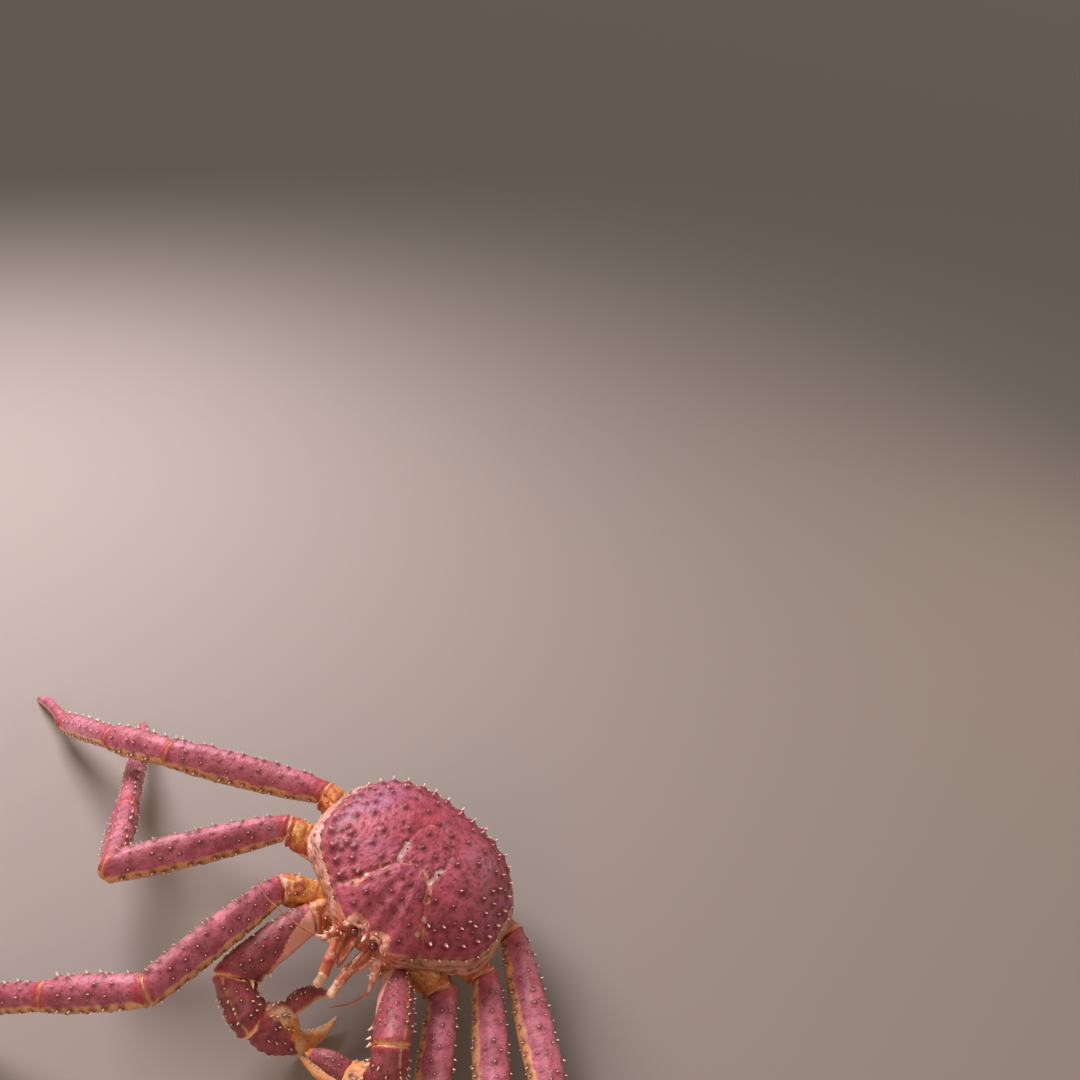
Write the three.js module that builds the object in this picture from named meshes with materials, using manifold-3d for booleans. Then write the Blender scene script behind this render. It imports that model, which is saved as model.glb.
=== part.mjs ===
// An adult male red king crab, life size, as a still display model standing with its legs spread.
// Millimetres, +Z up, floor at z = 0. The crab faces -Y and its own right side is -X.
// It leans sideways with its right side raised, the way a crab does as it steps over something.

import * as THREE from "three";
import { mergeVertices } from "three/addons/utils/BufferGeometryUtils.js";
import Module from "manifold-3d";

const wasm = await Module();
wasm.setup();

// Driving dimensions

const CARAPACE_LENGTH = 160; // rear edge to the front edge beside the rostrum
const CARAPACE_WIDTH = 183; // across its widest lobes, without the spines
const DOME_HEIGHT = 34; // crown of the shield above its margin
const RIM_THICKNESS = 3;
const MARGIN_Z = 74; // height of the shield's margin in the body's own frame
const THORAX_DEPTH = 50; // margin down to the breastplate
const LEAN = 16; // degrees, the right side higher
const LEAN_PIVOT_Z = 60;
const BODY_LIFT = 40; // raises the leaning body to its standing height
const GAP = 0.3; // between pieces that touch
const FOOT_HEIGHT = 1; // centre of a leg tip above the floor
const SPINE_SIDES = 4;

// Length of each leg piece past the merus as a share of the carapace length
const LEG_LENGTHS = { carpus: 0.53, propodus: 0.8, dactyl: 0.5 };

// Half height and half width of the leg at each joint and in the middle of each piece
const LEG_SIZES = {
  base: { start: [15, 14], middle: [13.5, 13], end: [10.5, 9.5] },
  merus: { start: [10.5, 9.5], middle: [16, 11.5], end: [13, 10.5] },
  carpus: { start: [12, 10], middle: [14.5, 11.5], end: [11.5, 9.5] },
  propodus: { start: [11, 9], middle: [12, 9.5], end: [8, 7] },
  dactyl: { start: [7.5, 6.5], middle: [5.5, 5], end: [1.6, 1.6] },
};

// Each leg: its root and hip in the body's frame, the length of its merus as a share of the
// carapace length, how far its upper edge tips back, then the heading (from +X towards +Y) and
// the rise of each piece in degrees. A dactyl has a heading only: it comes down to the floor.
const LEGS = {
  leg_1_right: {
    side: -1,
    root: [-52, -58, 40],
    hip: [-88, -78, 42],
    merusShare: 0.84,
    tip: 25,
    merus: [-100, 2],
    carpus: [-157, -19],
    propodus: [-163, -28],
    dactyl: -163,
  },
  leg_2_right: {
    side: -1,
    root: [-60, -22, 40],
    hip: [-120, -27, 42],
    merusShare: 0.95,
    tip: 25,
    merus: [-134, -6],
    carpus: [128, -16],
    propodus: [130, -20],
    dactyl: 134,
  },
  leg_3_right: {
    side: -1,
    root: [-60, 16, 40],
    hip: [-117, 25, 42],
    merusShare: 0.97,
    tip: 25,
    merus: [-163, 1],
    carpus: [178, -20],
    propodus: [165, -30],
    dactyl: 160,
  },
  leg_1_left: {
    side: 1,
    root: [50, -56, 40],
    hip: [82, -58, 42],
    merusShare: 0.84,
    tip: 55,
    merus: [-66, -8],
    carpus: [-62, -6],
    propodus: [-58, -4],
    dactyl: -52,
  },
  leg_2_left: {
    side: 1,
    root: [58, -20, 40],
    hip: [106, -21, 42],
    merusShare: 0.95,
    tip: 55,
    merus: [-58, -4],
    carpus: [-42, -4],
    propodus: [-30, -6],
    dactyl: -22,
  },
  leg_3_left: {
    side: 1,
    root: [58, 18, 40],
    hip: [106, 29, 42],
    merusShare: 0.97,
    tip: 55,
    merus: [-50, 0],
    carpus: [-18, -4],
    propodus: [8, -8],
    dactyl: 20,
  },
};

// Length of each claw-arm piece as a share of the carapace length; the claw runs to its fixed finger's tip
const CLAW_ARM_LENGTHS = { merus: 0.5, carpus: 0.27, claw: 0.56 };

// Half height and half width of the claw arm's pieces, as for the legs
const CLAW_ARM_SIZES = {
  base: { start: [15, 14], middle: [14, 13], end: [11.5, 10.5] },
  merus: { start: [11.5, 10.5], middle: [17.5, 13.5], end: [15, 12.5] },
  carpus: { start: [14, 12], middle: [17, 14], end: [11.5, 11] },
};

// Each claw arm, given as the legs are; gape is how far the moving finger is open
const CLAW_ARMS = {
  claw_right: {
    side: -1,
    root: [-26, -54, 40],
    hip: [-50, -80, 42],
    tip: 25,
    clawTip: -35,
    merus: [-112, -14],
    carpus: [-23, -27],
    claw: [56, -34],
    gape: 24,
  },
  claw_left: {
    side: 1,
    root: [26, -52, 38],
    hip: [42, -76, 42],
    tip: 25,
    clawTip: 10,
    merus: [-61, 21],
    carpus: [-70, -68],
    claw: [177, -25],
    gape: 14,
  },
};

const rad = THREE.MathUtils.degToRad;
const vec = (x, y, z) => new THREE.Vector3(x, y, z);

// A repeatable random number between low and high.
function seeded(seed) {
  let state = seed;
  return (low, high) => {
    state = (state * 1664525 + 1013904223) % 4294967296;
    return low + ((high - low) * state) / 4294967296;
  };
}

function direction(heading, rise) {
  return vec(
    Math.cos(rad(rise)) * Math.cos(rad(heading)),
    Math.cos(rad(rise)) * Math.sin(rad(heading)),
    Math.sin(rad(rise)),
  );
}

// The body's own frame is level: this matrix leans it and lifts it to where it stands.
const bodyToWorld = new THREE.Matrix4()
  .makeTranslation(0, 0, LEAN_PIVOT_Z + BODY_LIFT)
  .multiply(new THREE.Matrix4().makeRotationY(rad(LEAN)))
  .multiply(new THREE.Matrix4().makeTranslation(0, 0, -LEAN_PIVOT_Z));
const bodyPoint = (x, y, z) => vec(x, y, z).applyMatrix4(bodyToWorld);

// Solids

function solidFrom(geometry) {
  const bare = geometry.clone();
  bare.deleteAttribute("normal");
  bare.deleteAttribute("uv");
  const merged = mergeVertices(bare, 1e-4);
  return new wasm.Manifold(
    new wasm.Mesh({
      numProp: 3,
      vertProperties: merged.attributes.position.array,
      triVerts: new Uint32Array(merged.index.array),
    }),
  );
}

// A closed skin over rings of equally many points, with one point closing each end.
function loft(first, rings, last) {
  const sides = rings[0].length;
  const points = [first, ...rings.flat(), last];
  const end = points.length - 1;
  const faces = [];
  for (let i = 0; i < sides; i++) {
    const next = (i + 1) % sides;
    faces.push(0, 1 + next, 1 + i);
    for (let r = 0; r < rings.length - 1; r++) {
      const a = 1 + r * sides;
      const b = a + sides;
      faces.push(a + i, a + next, b + next, a + i, b + next, b + i);
    }
    const a = end - sides;
    faces.push(end, a + i, a + next);
  }
  const geometry = new THREE.BufferGeometry().setFromPoints(points);
  geometry.setIndex(faces);
  const solid = solidFrom(geometry);
  if (solid.volume() > 0) return solid;
  for (let i = 0; i < faces.length; i += 3) {
    [faces[i + 1], faces[i + 2]] = [faces[i + 2], faces[i + 1]];
  }
  geometry.setIndex(faces);
  return solidFrom(geometry);
}

function joined(solids) {
  return solids.reduce((all, one) => all.add(one));
}

// The largest closed surface of a solid: loose scraps and sealed hollows are left out.
function largestBody(solid) {
  const bodies = solid.decompose();
  return bodies.reduce((best, one) => (one.volume() > best.volume() ? one : best));
}

function meshOf(name, solid, material) {
  const made = largestBody(solid).getMesh();
  const geometry = new THREE.BufferGeometry();
  geometry.setAttribute("position", new THREE.BufferAttribute(made.vertProperties, 3));
  geometry.setIndex(new THREE.BufferAttribute(made.triVerts, 1));
  geometry.computeVertexNormals();
  const mesh = new THREE.Mesh(geometry, material);
  mesh.name = name;
  return mesh;
}

// One tapered thorn: its root is sunk into the surface at point.
function spine(point, towards, height, radius) {
  const sunk = radius + 0.8;
  const cone = new THREE.ConeGeometry(radius, height + sunk, SPINE_SIDES);
  cone.applyQuaternion(
    new THREE.Quaternion().setFromUnitVectors(vec(0, 1, 0), towards.clone().normalize()),
  );
  const middle = point.clone().addScaledVector(towards.clone().normalize(), (height - sunk) / 2);
  cone.translate(middle.x, middle.y, middle.z);
  return solidFrom(cone);
}

// Shell materials

const shellRed = new THREE.MeshStandardMaterial({ color: 0x8e3b4d, roughness: 0.45, metalness: 0 });
const flankPink = new THREE.MeshStandardMaterial({ color: 0xc79a86, roughness: 0.6, metalness: 0 });
const jointGold = new THREE.MeshStandardMaterial({ color: 0xc98a4b, roughness: 0.55, metalness: 0 });
const clawShell = new THREE.MeshStandardMaterial({ color: 0xa35553, roughness: 0.45, metalness: 0 });
const mouthOrange = new THREE.MeshStandardMaterial({ color: 0xb9603f, roughness: 0.5, metalness: 0 });
const eyeDark = new THREE.MeshStandardMaterial({ color: 0x2a1012, roughness: 0.15, metalness: 0 });

// The shield's outline, half of it from front to rear: [share of the half width, share of the length]
const HALF_OUTLINE = [
  [0.11, -0.475],
  [0.23, -0.513],
  [0.39, -0.469],
  [0.62, -0.363],
  [0.885, -0.25],
  [0.995, -0.113],
  [0.995, 0.05],
  [0.94, 0.213],
  [0.72, 0.381],
  [0.393, 0.456],
];
const FRONT_Y = -0.506 * CARAPACE_LENGTH;
const REAR_Y = 0.475 * CARAPACE_LENGTH;
const DOME_CENTRE_Y = 4;

// The outline as one closed curve, mirrored from its half
const halfOutline = HALF_OUTLINE.map(([wide, long]) => [
  (wide * CARAPACE_WIDTH) / 2,
  long * CARAPACE_LENGTH,
]);
const outline = new THREE.CatmullRomCurve3(
  [
    vec(0, FRONT_Y, 0),
    ...halfOutline.map(([x, y]) => vec(x, y, 0)),
    vec(0, REAR_Y, 0),
    ...halfOutline.reverse().map(([x, y]) => vec(-x, y, 0)),
  ],
  true,
);

// The ring at a share of the way from the dome's centre to the outline, moved out by grow.
function outlineRing(count, share, z, grow = 0) {
  return outline.getSpacedPoints(count).slice(0, count).map((edge) => {
    const out = vec(edge.x, edge.y - DOME_CENTRE_Y, 0);
    out.setLength(out.length() * share + grow);
    return vec(out.x, out.y + DOME_CENTRE_Y, z);
  });
}

// Swellings of the shield over the organs: [x, y, height, half width, half length], mirrored in x
const SWELLINGS = [
  [0, -44, 7, 30, 26],
  [0, 20, 4, 16, 20],
  [48, 22, 6, 30, 36],
  [46, -30, 3, 18, 16],
];

function swell(x, y) {
  let height = 0;
  for (const [cx, cy, top, wide, long] of SWELLINGS) {
    const dx = (Math.abs(x) - cx) / wide;
    const dy = (y - cy) / long;
    height += top * Math.exp(-dx * dx - dy * dy);
  }
  return height;
}

// Height of the shield above its margin, at a share of the way from its centre to its outline.
function domeHeight(x, y, share) {
  const vault = DOME_HEIGHT * Math.pow(1 - Math.pow(share, 2.3), 0.62);
  return vault + swell(x, y) * (1 - share * share);
}

const SHIELD_STEPS = 56;
const FLANK_STEPS = 40;

function carapaceSolid(grow = 0) {
  const rings = [0.22, 0.42, 0.6, 0.75, 0.87, 0.95, 1].map((share) =>
    outlineRing(SHIELD_STEPS, share, 0, grow).map((p) =>
      vec(p.x, p.y, MARGIN_Z + grow + domeHeight(p.x, p.y, share)),
    ),
  );
  rings.push(outlineRing(SHIELD_STEPS, 0.985, MARGIN_Z - RIM_THICKNESS - grow, grow));
  const crown = vec(0, DOME_CENTRE_Y, MARGIN_Z + grow + domeHeight(0, DOME_CENTRE_Y, 0));
  const under = vec(0, DOME_CENTRE_Y, MARGIN_Z - RIM_THICKNESS - grow);
  return loft(crown, rings, under).transform(bodyToWorld.elements);
}

// The flanks bulge just outside the margin and draw in to the breastplate: [share of the depth, share of the outline]
const FLANK_PROFILE = [
  [0, 0.985],
  [0.1, 1.03],
  [0.26, 1.05],
  [0.46, 0.97],
  [0.7, 0.78],
  [0.9, 0.56],
  [1, 0.4],
];

function thoraxSolid(grow = 0) {
  const top = MARGIN_Z - RIM_THICKNESS - GAP;
  const depth = THORAX_DEPTH - RIM_THICKNESS;
  const rings = FLANK_PROFILE.map(([down, share]) =>
    outlineRing(FLANK_STEPS, share, top - depth * down + grow * (1 - 2 * down), grow),
  );
  const above = vec(0, DOME_CENTRE_Y, top + grow);
  const below = vec(0, DOME_CENTRE_Y, top - depth - grow);
  return loft(above, rings, below).transform(bodyToWorld.elements);
}

// Limb pieces

// The frame of a limb piece: along it, towards its upper edge and towards the crab's front.
// The upper edge is tipped back by leanBack degrees, so that the front face looks up.
function pieceFrame(start, end, side, leanBack) {
  const along = end.clone().sub(start).normalize();
  const up = vec(0, 0, 1).addScaledVector(along, -along.z).normalize();
  const fore = along.clone().cross(up).multiplyScalar(side);
  const turned = rad(leanBack);
  return {
    start,
    end,
    along,
    length: end.distanceTo(start),
    up: up.clone().multiplyScalar(Math.cos(turned)).addScaledVector(fore, -Math.sin(turned)),
    fore: fore.clone().multiplyScalar(Math.cos(turned)).addScaledVector(up, Math.sin(turned)),
  };
}

const ROUNDNESS = 0.85; // 1 is an ellipse, less is squarer

// Half height, half width and the lift of the middle line at a distance along a piece.
function sizeAlong(stations, distance) {
  let i = 1;
  while (i < stations.length - 1 && stations[i].at < distance) i++;
  const a = stations[i - 1];
  const b = stations[i];
  const share = THREE.MathUtils.clamp((distance - a.at) / (b.at - a.at), 0, 1);
  return {
    high: THREE.MathUtils.lerp(a.high, b.high, share),
    wide: THREE.MathUtils.lerp(a.wide, b.wide, share),
    lift: THREE.MathUtils.lerp(a.lift, b.lift, share),
  };
}

// The point on a piece's surface at an angle: 0 is the front, 90 the upper edge, 180 the back.
function surfacePoint(frame, station, angle, grow = 0) {
  const c = Math.cos(rad(angle));
  const s = Math.sin(rad(angle));
  const wide = (station.wide + grow) * Math.sign(c) * Math.pow(Math.abs(c), ROUNDNESS);
  const high = (station.high + grow) * Math.sign(s) * Math.pow(Math.abs(s), ROUNDNESS);
  return frame.start
    .clone()
    .addScaledVector(frame.along, station.at)
    .addScaledVector(frame.fore, wide)
    .addScaledVector(frame.up, high + station.lift);
}

function pieceSolid(frame, stations, sides = 8, grow = 0) {
  const rings = stations.map((station) => {
    const ring = [];
    for (let i = 0; i < sides; i++) {
      ring.push(surfacePoint(frame, station, (360 * (i + 0.5)) / sides, grow));
    }
    return ring;
  });
  const centre = (station, past) =>
    frame.start
      .clone()
      .addScaledVector(frame.along, station.at + past)
      .addScaledVector(frame.up, station.lift);
  const first = stations[0];
  const last = stations[stations.length - 1];
  const cap = 0.3;
  return loft(
    centre(first, -cap * first.wide - grow),
    rings,
    centre(last, cap * last.wide + grow),
  );
}

const END_TURN = 48; // degrees round a piece's end where its last ring stands

// Stations of a piece with round ends, so that two pieces meeting at a joint make a round elbow.
function roundEnded(length, size, bow = 0) {
  const [h0, w0] = size.start;
  const [h1, w1] = size.middle;
  const [h2, w2] = size.end;
  const station = (at, high, wide, lift = 0) => ({ at, high, wide, lift });
  const stations = [];
  const turn = rad(END_TURN);
  stations.push(station(-w0 * Math.sin(turn), h0 * Math.cos(turn), w0 * Math.cos(turn)));
  stations.push(station(0, h0, w0));
  stations.push(station(length * 0.12, (h0 + h1) / 2, (w0 + w1) / 2, bow * 0.4));
  stations.push(station(length * 0.35, h1 * 0.97, w1 * 0.97, bow * 0.9));
  stations.push(station(length * 0.7, h1, w1, bow * 0.85));
  stations.push(station(length * 0.92, (h1 + h2) / 2, (w1 + w2) / 2, bow * 0.25));
  stations.push(station(length, h2, w2));
  stations.push(station(length + w2 * Math.sin(turn), h2 * Math.cos(turn), w2 * Math.cos(turn)));
  return stations;
}

// Cuts a solid at a joint, square to the bend, keeping the part before or after it.
function cutAtJoint(solid, joint, alongBefore, alongAfter, keep) {
  const normal = alongBefore.clone().add(alongAfter).normalize();
  const offset = normal.dot(joint);
  if (keep === "after") return solid.trimByPlane(normal.toArray(), offset + GAP / 2);
  return solid.trimByPlane(normal.clone().negate().toArray(), -(offset - GAP / 2));
}

// Legs

const LEG_PIECES = ["base", "merus", "carpus", "propodus", "dactyl"];

// Rows of spines on each leg piece: angle round it, share of its length from and to, count, height
const SPINE_ROWS = {
  base: [],
  merus: [
    { angle: 92, from: 0.06, to: 0.94, count: 7, height: 5 },
    { angle: 38, from: 0.14, to: 0.9, count: 4, height: 3 },
    { angle: -28, from: 0.1, to: 0.96, count: 6, height: 4 },
    { angle: 155, from: 0.12, to: 0.9, count: 4, height: 3.5 },
  ],
  carpus: [
    { angle: 95, from: 0.14, to: 0.94, count: 4, height: 5.5 },
    { angle: 35, from: 0.25, to: 0.85, count: 2, height: 3.5 },
    { angle: -25, from: 0.3, to: 0.95, count: 3, height: 4 },
    { angle: 155, from: 0.3, to: 0.9, count: 2, height: 4 },
  ],
  propodus: [
    { angle: 92, from: 0.08, to: 0.92, count: 5, height: 4.5 },
    { angle: 30, from: 0.15, to: 0.9, count: 3, height: 2.8 },
    { angle: -32, from: 0.1, to: 0.92, count: 4, height: 3.2 },
    { angle: 155, from: 0.15, to: 0.9, count: 3, height: 3 },
  ],
  dactyl: [{ angle: 90, from: 0.08, to: 0.3, count: 2, height: 2.2 }],
};

function spinesOnPiece(frame, stations, rows, random) {
  const solids = [];
  for (const row of rows) {
    for (let i = 0; i < row.count; i++) {
      const share = row.from + ((row.to - row.from) * (i + random(0.25, 0.75))) / row.count;
      const at = share * frame.length;
      const size = sizeAlong(stations, at);
      const angle = row.angle + random(-6, 6);
      const root = surfacePoint(frame, { at, ...size }, angle);
      const middle = frame.start
        .clone()
        .addScaledVector(frame.along, at)
        .addScaledVector(frame.up, size.lift);
      const towards = root.clone().sub(middle).normalize().addScaledVector(frame.along, 0.35);
      const height = row.height * random(0.75, 1.15);
      solids.push(spine(root, towards, height, 0.42 * height + 0.5));
    }
  }
  return solids;
}

function legJoints(leg) {
  const joints = [bodyPoint(...leg.root), bodyPoint(...leg.hip)];
  for (const piece of ["merus", "carpus", "propodus"]) {
    const share = piece === "merus" ? leg.merusShare : LEG_LENGTHS[piece];
    const reach = direction(...leg[piece]).multiplyScalar(share * CARAPACE_LENGTH);
    joints.push(joints[joints.length - 1].clone().add(reach));
  }
  const ankle = joints[joints.length - 1];
  const length = LEG_LENGTHS.dactyl * CARAPACE_LENGTH;
  const rise = THREE.MathUtils.radToDeg(Math.asin((FOOT_HEIGHT - ankle.z) / length));
  joints.push(ankle.clone().add(direction(leg.dactyl, rise).multiplyScalar(length)));
  return joints;
}

const DACTYL_BOW = 5;

// A limb's base made larger by the gap: what stands beside it is cut clear with this.
function grownBase(limb, size) {
  const frame = pieceFrame(bodyPoint(...limb.root), bodyPoint(...limb.hip), limb.side, 0);
  return pieceSolid(frame, roundEnded(frame.length, size), 8, GAP);
}

function legMeshes(name, leg, bodySolid, random) {
  const joints = legJoints(leg);
  const frames = LEG_PIECES.map((piece, i) =>
    pieceFrame(joints[i], joints[i + 1], leg.side, piece === "base" ? 0 : leg.tip),
  );
  return LEG_PIECES.map((piece, i) => {
    const frame = frames[i];
    const stations = roundEnded(frame.length, LEG_SIZES[piece], piece === "dactyl" ? DACTYL_BOW : 0);
    let solid = joined([
      pieceSolid(frame, stations),
      ...spinesOnPiece(frame, stations, SPINE_ROWS[piece], random),
    ]);
    if (i > 0) solid = cutAtJoint(solid, joints[i], frames[i - 1].along, frame.along, "after");
    if (i < LEG_PIECES.length - 1) {
      solid = cutAtJoint(solid, joints[i + 1], frame.along, frames[i + 1].along, "before");
    }
    if (piece === "base" || piece === "merus") solid = solid.subtract(bodySolid);
    solid = solid.trimByPlane([0, 0, 1], 0);
    return meshOf(`${name}_${piece}`, solid, piece === "base" ? jointGold : shellRed);
  });
}

// Claw arms

const CLAW_SPINE_ROWS = {
  base: [],
  merus: [
    { angle: 95, from: 0.12, to: 0.95, count: 5, height: 4.5 },
    { angle: 40, from: 0.3, to: 0.92, count: 4, height: 3.5 },
    { angle: -20, from: 0.6, to: 1, count: 3, height: 7 },
    { angle: 150, from: 0.3, to: 0.9, count: 3, height: 4 },
  ],
  carpus: [
    { angle: 100, from: 0.1, to: 0.9, count: 4, height: 5 },
    { angle: 40, from: 0.2, to: 0.9, count: 3, height: 4.5 },
    { angle: -10, from: 0.2, to: 0.95, count: 3, height: 6 },
    { angle: 165, from: 0.2, to: 0.9, count: 3, height: 4 },
  ],
  palm: [
    { angle: 100, from: 0.08, to: 0.3, count: 3, height: 5 },
    { angle: 50, from: 0.1, to: 0.34, count: 2, height: 3.5 },
    { angle: 140, from: 0.1, to: 0.34, count: 2, height: 3.5 },
    { angle: 200, from: 0.12, to: 0.45, count: 3, height: 3.5 },
    { angle: -60, from: 0.12, to: 0.5, count: 4, height: 4 },
  ],
};

// Share of the claw's length, half height, half width and lift: the palm runs on into the fixed finger
const PALM_PROFILE = [
  [-0.05, 8, 7.5, 0],
  [0.02, 11, 10, 0],
  [0.14, 17, 13.5, -1],
  [0.32, 20, 14.5, -3],
  [0.44, 17.5, 13.5, -6],
  [0.54, 11, 11.5, -13],
  [0.68, 8.5, 9, -14],
  [0.82, 6.5, 6.8, -10],
  [0.93, 4, 4.2, -3],
  [1, 1.2, 1.4, 5],
];

// The moving finger, hinged at the top of the palm: the same, along its own line
const FINGER_PROFILE = [
  [-0.06, 5, 5, -3],
  [0.05, 8.5, 8.5, -1],
  [0.25, 8.5, 8.5, 3],
  [0.55, 7, 7, 4],
  [0.8, 4.5, 4.8, 1],
  [0.93, 2.8, 3, -2],
  [1, 1.1, 1.2, -5],
];
const FINGER_SHARE = 0.5; // length of the moving finger along the whole claw
const FINGER_HINGE = [0.35, 11]; // share along the claw and lift above its middle line

function profileStations(profile, length) {
  return profile.map(([share, high, wide, lift]) => ({ at: share * length, high, wide, lift }));
}

// The blunt teeth along the biting edge of a finger: one row on the side at the given angle.
function fingerTeeth(frame, stations, { angle, from, to, count, height }) {
  const solids = [];
  for (let i = 0; i < count; i++) {
    const at = (from + ((to - from) * (i + 0.5)) / count) * frame.length;
    const size = sizeAlong(stations, at);
    const root = surfacePoint(frame, { at, ...size }, angle);
    const towards = frame.up.clone().multiplyScalar(Math.sign(Math.sin(rad(angle))));
    solids.push(spine(root, towards, height, height * 0.9));
  }
  return solids;
}

function clawArmMeshes(name, arm, neighbours, random) {
  const joints = [bodyPoint(...arm.root), bodyPoint(...arm.hip)];
  for (const piece of ["merus", "carpus", "claw"]) {
    const reach = direction(...arm[piece]);
    reach.multiplyScalar(CLAW_ARM_LENGTHS[piece] * CARAPACE_LENGTH);
    joints.push(joints[joints.length - 1].clone().add(reach));
  }
  const tips = [0, arm.tip, arm.tip, arm.clawTip];
  const frames = tips.map((tip, i) => pieceFrame(joints[i], joints[i + 1], arm.side, tip));
  const meshes = ["base", "merus", "carpus"].map((piece, i) => {
    const frame = frames[i];
    const stations = roundEnded(frame.length, CLAW_ARM_SIZES[piece]);
    let solid = joined([
      pieceSolid(frame, stations),
      ...spinesOnPiece(frame, stations, CLAW_SPINE_ROWS[piece], random),
    ]);
    if (i > 0) solid = cutAtJoint(solid, joints[i], frames[i - 1].along, frame.along, "after");
    solid = cutAtJoint(solid, joints[i + 1], frame.along, frames[i + 1].along, "before");
    if (piece === "base" || piece === "merus") solid = solid.subtract(neighbours);
    return meshOf(`${name}_${piece}`, solid, piece === "base" ? jointGold : clawShell);
  });

  const claw = frames[3];
  const palmStations = profileStations(PALM_PROFILE, claw.length);
  const palm = cutAtJoint(
    joined([
      pieceSolid(claw, palmStations, 10),
      ...spinesOnPiece(claw, palmStations, CLAW_SPINE_ROWS.palm, random),
      ...fingerTeeth(claw, palmStations, { angle: 90, from: 0.6, to: 0.92, count: 4, height: 2 }),
    ]),
    joints[3],
    frames[2].along,
    claw.along,
    "after",
  );

  const [hingeShare, hingeLift] = FINGER_HINGE;
  const hinge = claw.start
    .clone()
    .addScaledVector(claw.along, hingeShare * claw.length)
    .addScaledVector(claw.up, hingeLift);
  const open = rad(arm.gape);
  const reach = claw.along
    .clone()
    .multiplyScalar(Math.cos(open))
    .addScaledVector(claw.up, Math.sin(open));
  const finger = {
    start: hinge,
    along: reach,
    length: FINGER_SHARE * claw.length,
    up: claw.up.clone().multiplyScalar(Math.cos(open)).addScaledVector(claw.along, -Math.sin(open)),
    fore: claw.fore,
  };
  const fingerStations = profileStations(FINGER_PROFILE, finger.length);
  const fingerSolid = joined([
    pieceSolid(finger, fingerStations, 10),
    ...fingerTeeth(finger, fingerStations, { angle: 270, from: 0.3, to: 0.85, count: 4, height: 2 }),
  ]).subtract(pieceSolid(claw, palmStations, 10, GAP));

  meshes.push(meshOf(`${name}_palm`, palm, clawShell));
  meshes.push(meshOf(`${name}_finger`, fingerSolid, clawShell));
  return meshes;
}

// Spines of the shield

const SHIELD_SPINE_SPACING = 15;
const RIM_SPINE_COUNT = 34;

// The share of the way from the dome's centre to the outline at a point of the body's frame.
function outlineShare(x, y) {
  const angle = Math.atan2(y - DOME_CENTRE_Y, x);
  let reach = 0;
  let nearest = Infinity;
  for (const edge of outline.getSpacedPoints(180)) {
    const turn = Math.abs(Math.atan2(edge.y - DOME_CENTRE_Y, edge.x) - angle);
    const apart = Math.min(turn, 2 * Math.PI - turn);
    if (apart < nearest) {
      nearest = apart;
      reach = Math.hypot(edge.x, edge.y - DOME_CENTRE_Y);
    }
  }
  return Math.hypot(x, y - DOME_CENTRE_Y) / reach;
}

function shieldPoint(x, y) {
  return vec(x, y, MARGIN_Z + domeHeight(x, y, outlineShare(x, y)));
}

function bodySpine(point, towards, height, radius) {
  const root = point.clone().applyMatrix4(bodyToWorld);
  const aim = towards.clone().transformDirection(bodyToWorld);
  return spine(root, aim, height, radius);
}

// Spines stand on a staggered grid, the same on both sides of the midline but for small differences.
function shieldSpines(random) {
  const solids = [];
  const rowStep = SHIELD_SPINE_SPACING * 0.87;
  const rows = Math.ceil(CARAPACE_LENGTH / rowStep);
  for (let row = 0; row < rows; row++) {
    const offset = row % 2 === 0 ? SHIELD_SPINE_SPACING / 2 : SHIELD_SPINE_SPACING;
    for (let x = offset; x < CARAPACE_WIDTH / 2; x += SHIELD_SPINE_SPACING) {
      for (const side of [-1, 1]) {
        const px = side * (x + random(-2, 2));
        const py = FRONT_Y + 6 + row * rowStep + random(-2, 2);
        const share = outlineShare(px, py);
        if (share > 0.9) continue;
        const point = shieldPoint(px, py);
        const height = random(2.6, 4.2);
        const lean = vec(px * 0.006, (py - DOME_CENTRE_Y) * 0.006, 1);
        solids.push(bodySpine(point, lean, height, 0.5 * height + 0.6));
      }
    }
  }
  return solids;
}

function rimSpines(random) {
  const solids = [];
  const edges = outlineRing(RIM_SPINE_COUNT, 0.985, MARGIN_Z);
  for (const edge of edges) {
    if (edge.y < -70) continue;
    const out = vec(edge.x, edge.y - DOME_CENTRE_Y, 0).normalize();
    const height = random(4.5, 6.5);
    solids.push(bodySpine(edge, out.setZ(0.35), height, 0.4 * height));
  }
  return solids;
}

// The beak between the eyes: one long spine with a pair on its back
const BEAK_LENGTH = 16;

function rostrum() {
  const solids = [bodySpine(vec(0, FRONT_Y + 4, MARGIN_Z), vec(0, -1, 0.5), BEAK_LENGTH, 5)];
  for (const side of [-1, 1]) {
    solids.push(bodySpine(vec(side * 5, FRONT_Y + 7, MARGIN_Z + 5), vec(side * 0.25, -1, 0.75), 8, 3));
    solids.push(bodySpine(vec(side * 20, FRONT_Y + 3, MARGIN_Z), vec(side * 0.3, -1, 0.15), 8, 3));
  }
  return solids;
}

// Head: eyes, feelers and mouth legs, each given in the body's frame for the left side

const EYE = { stalk: [7, -70, 65], centre: [10, -84, 73], radius: 3.9, stalkRadius: 2.8 };

function ballSolid(centre, radius) {
  const ball = new THREE.SphereGeometry(radius, 10, 7);
  ball.translate(centre.x, centre.y, centre.z);
  return solidFrom(ball);
}

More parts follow.
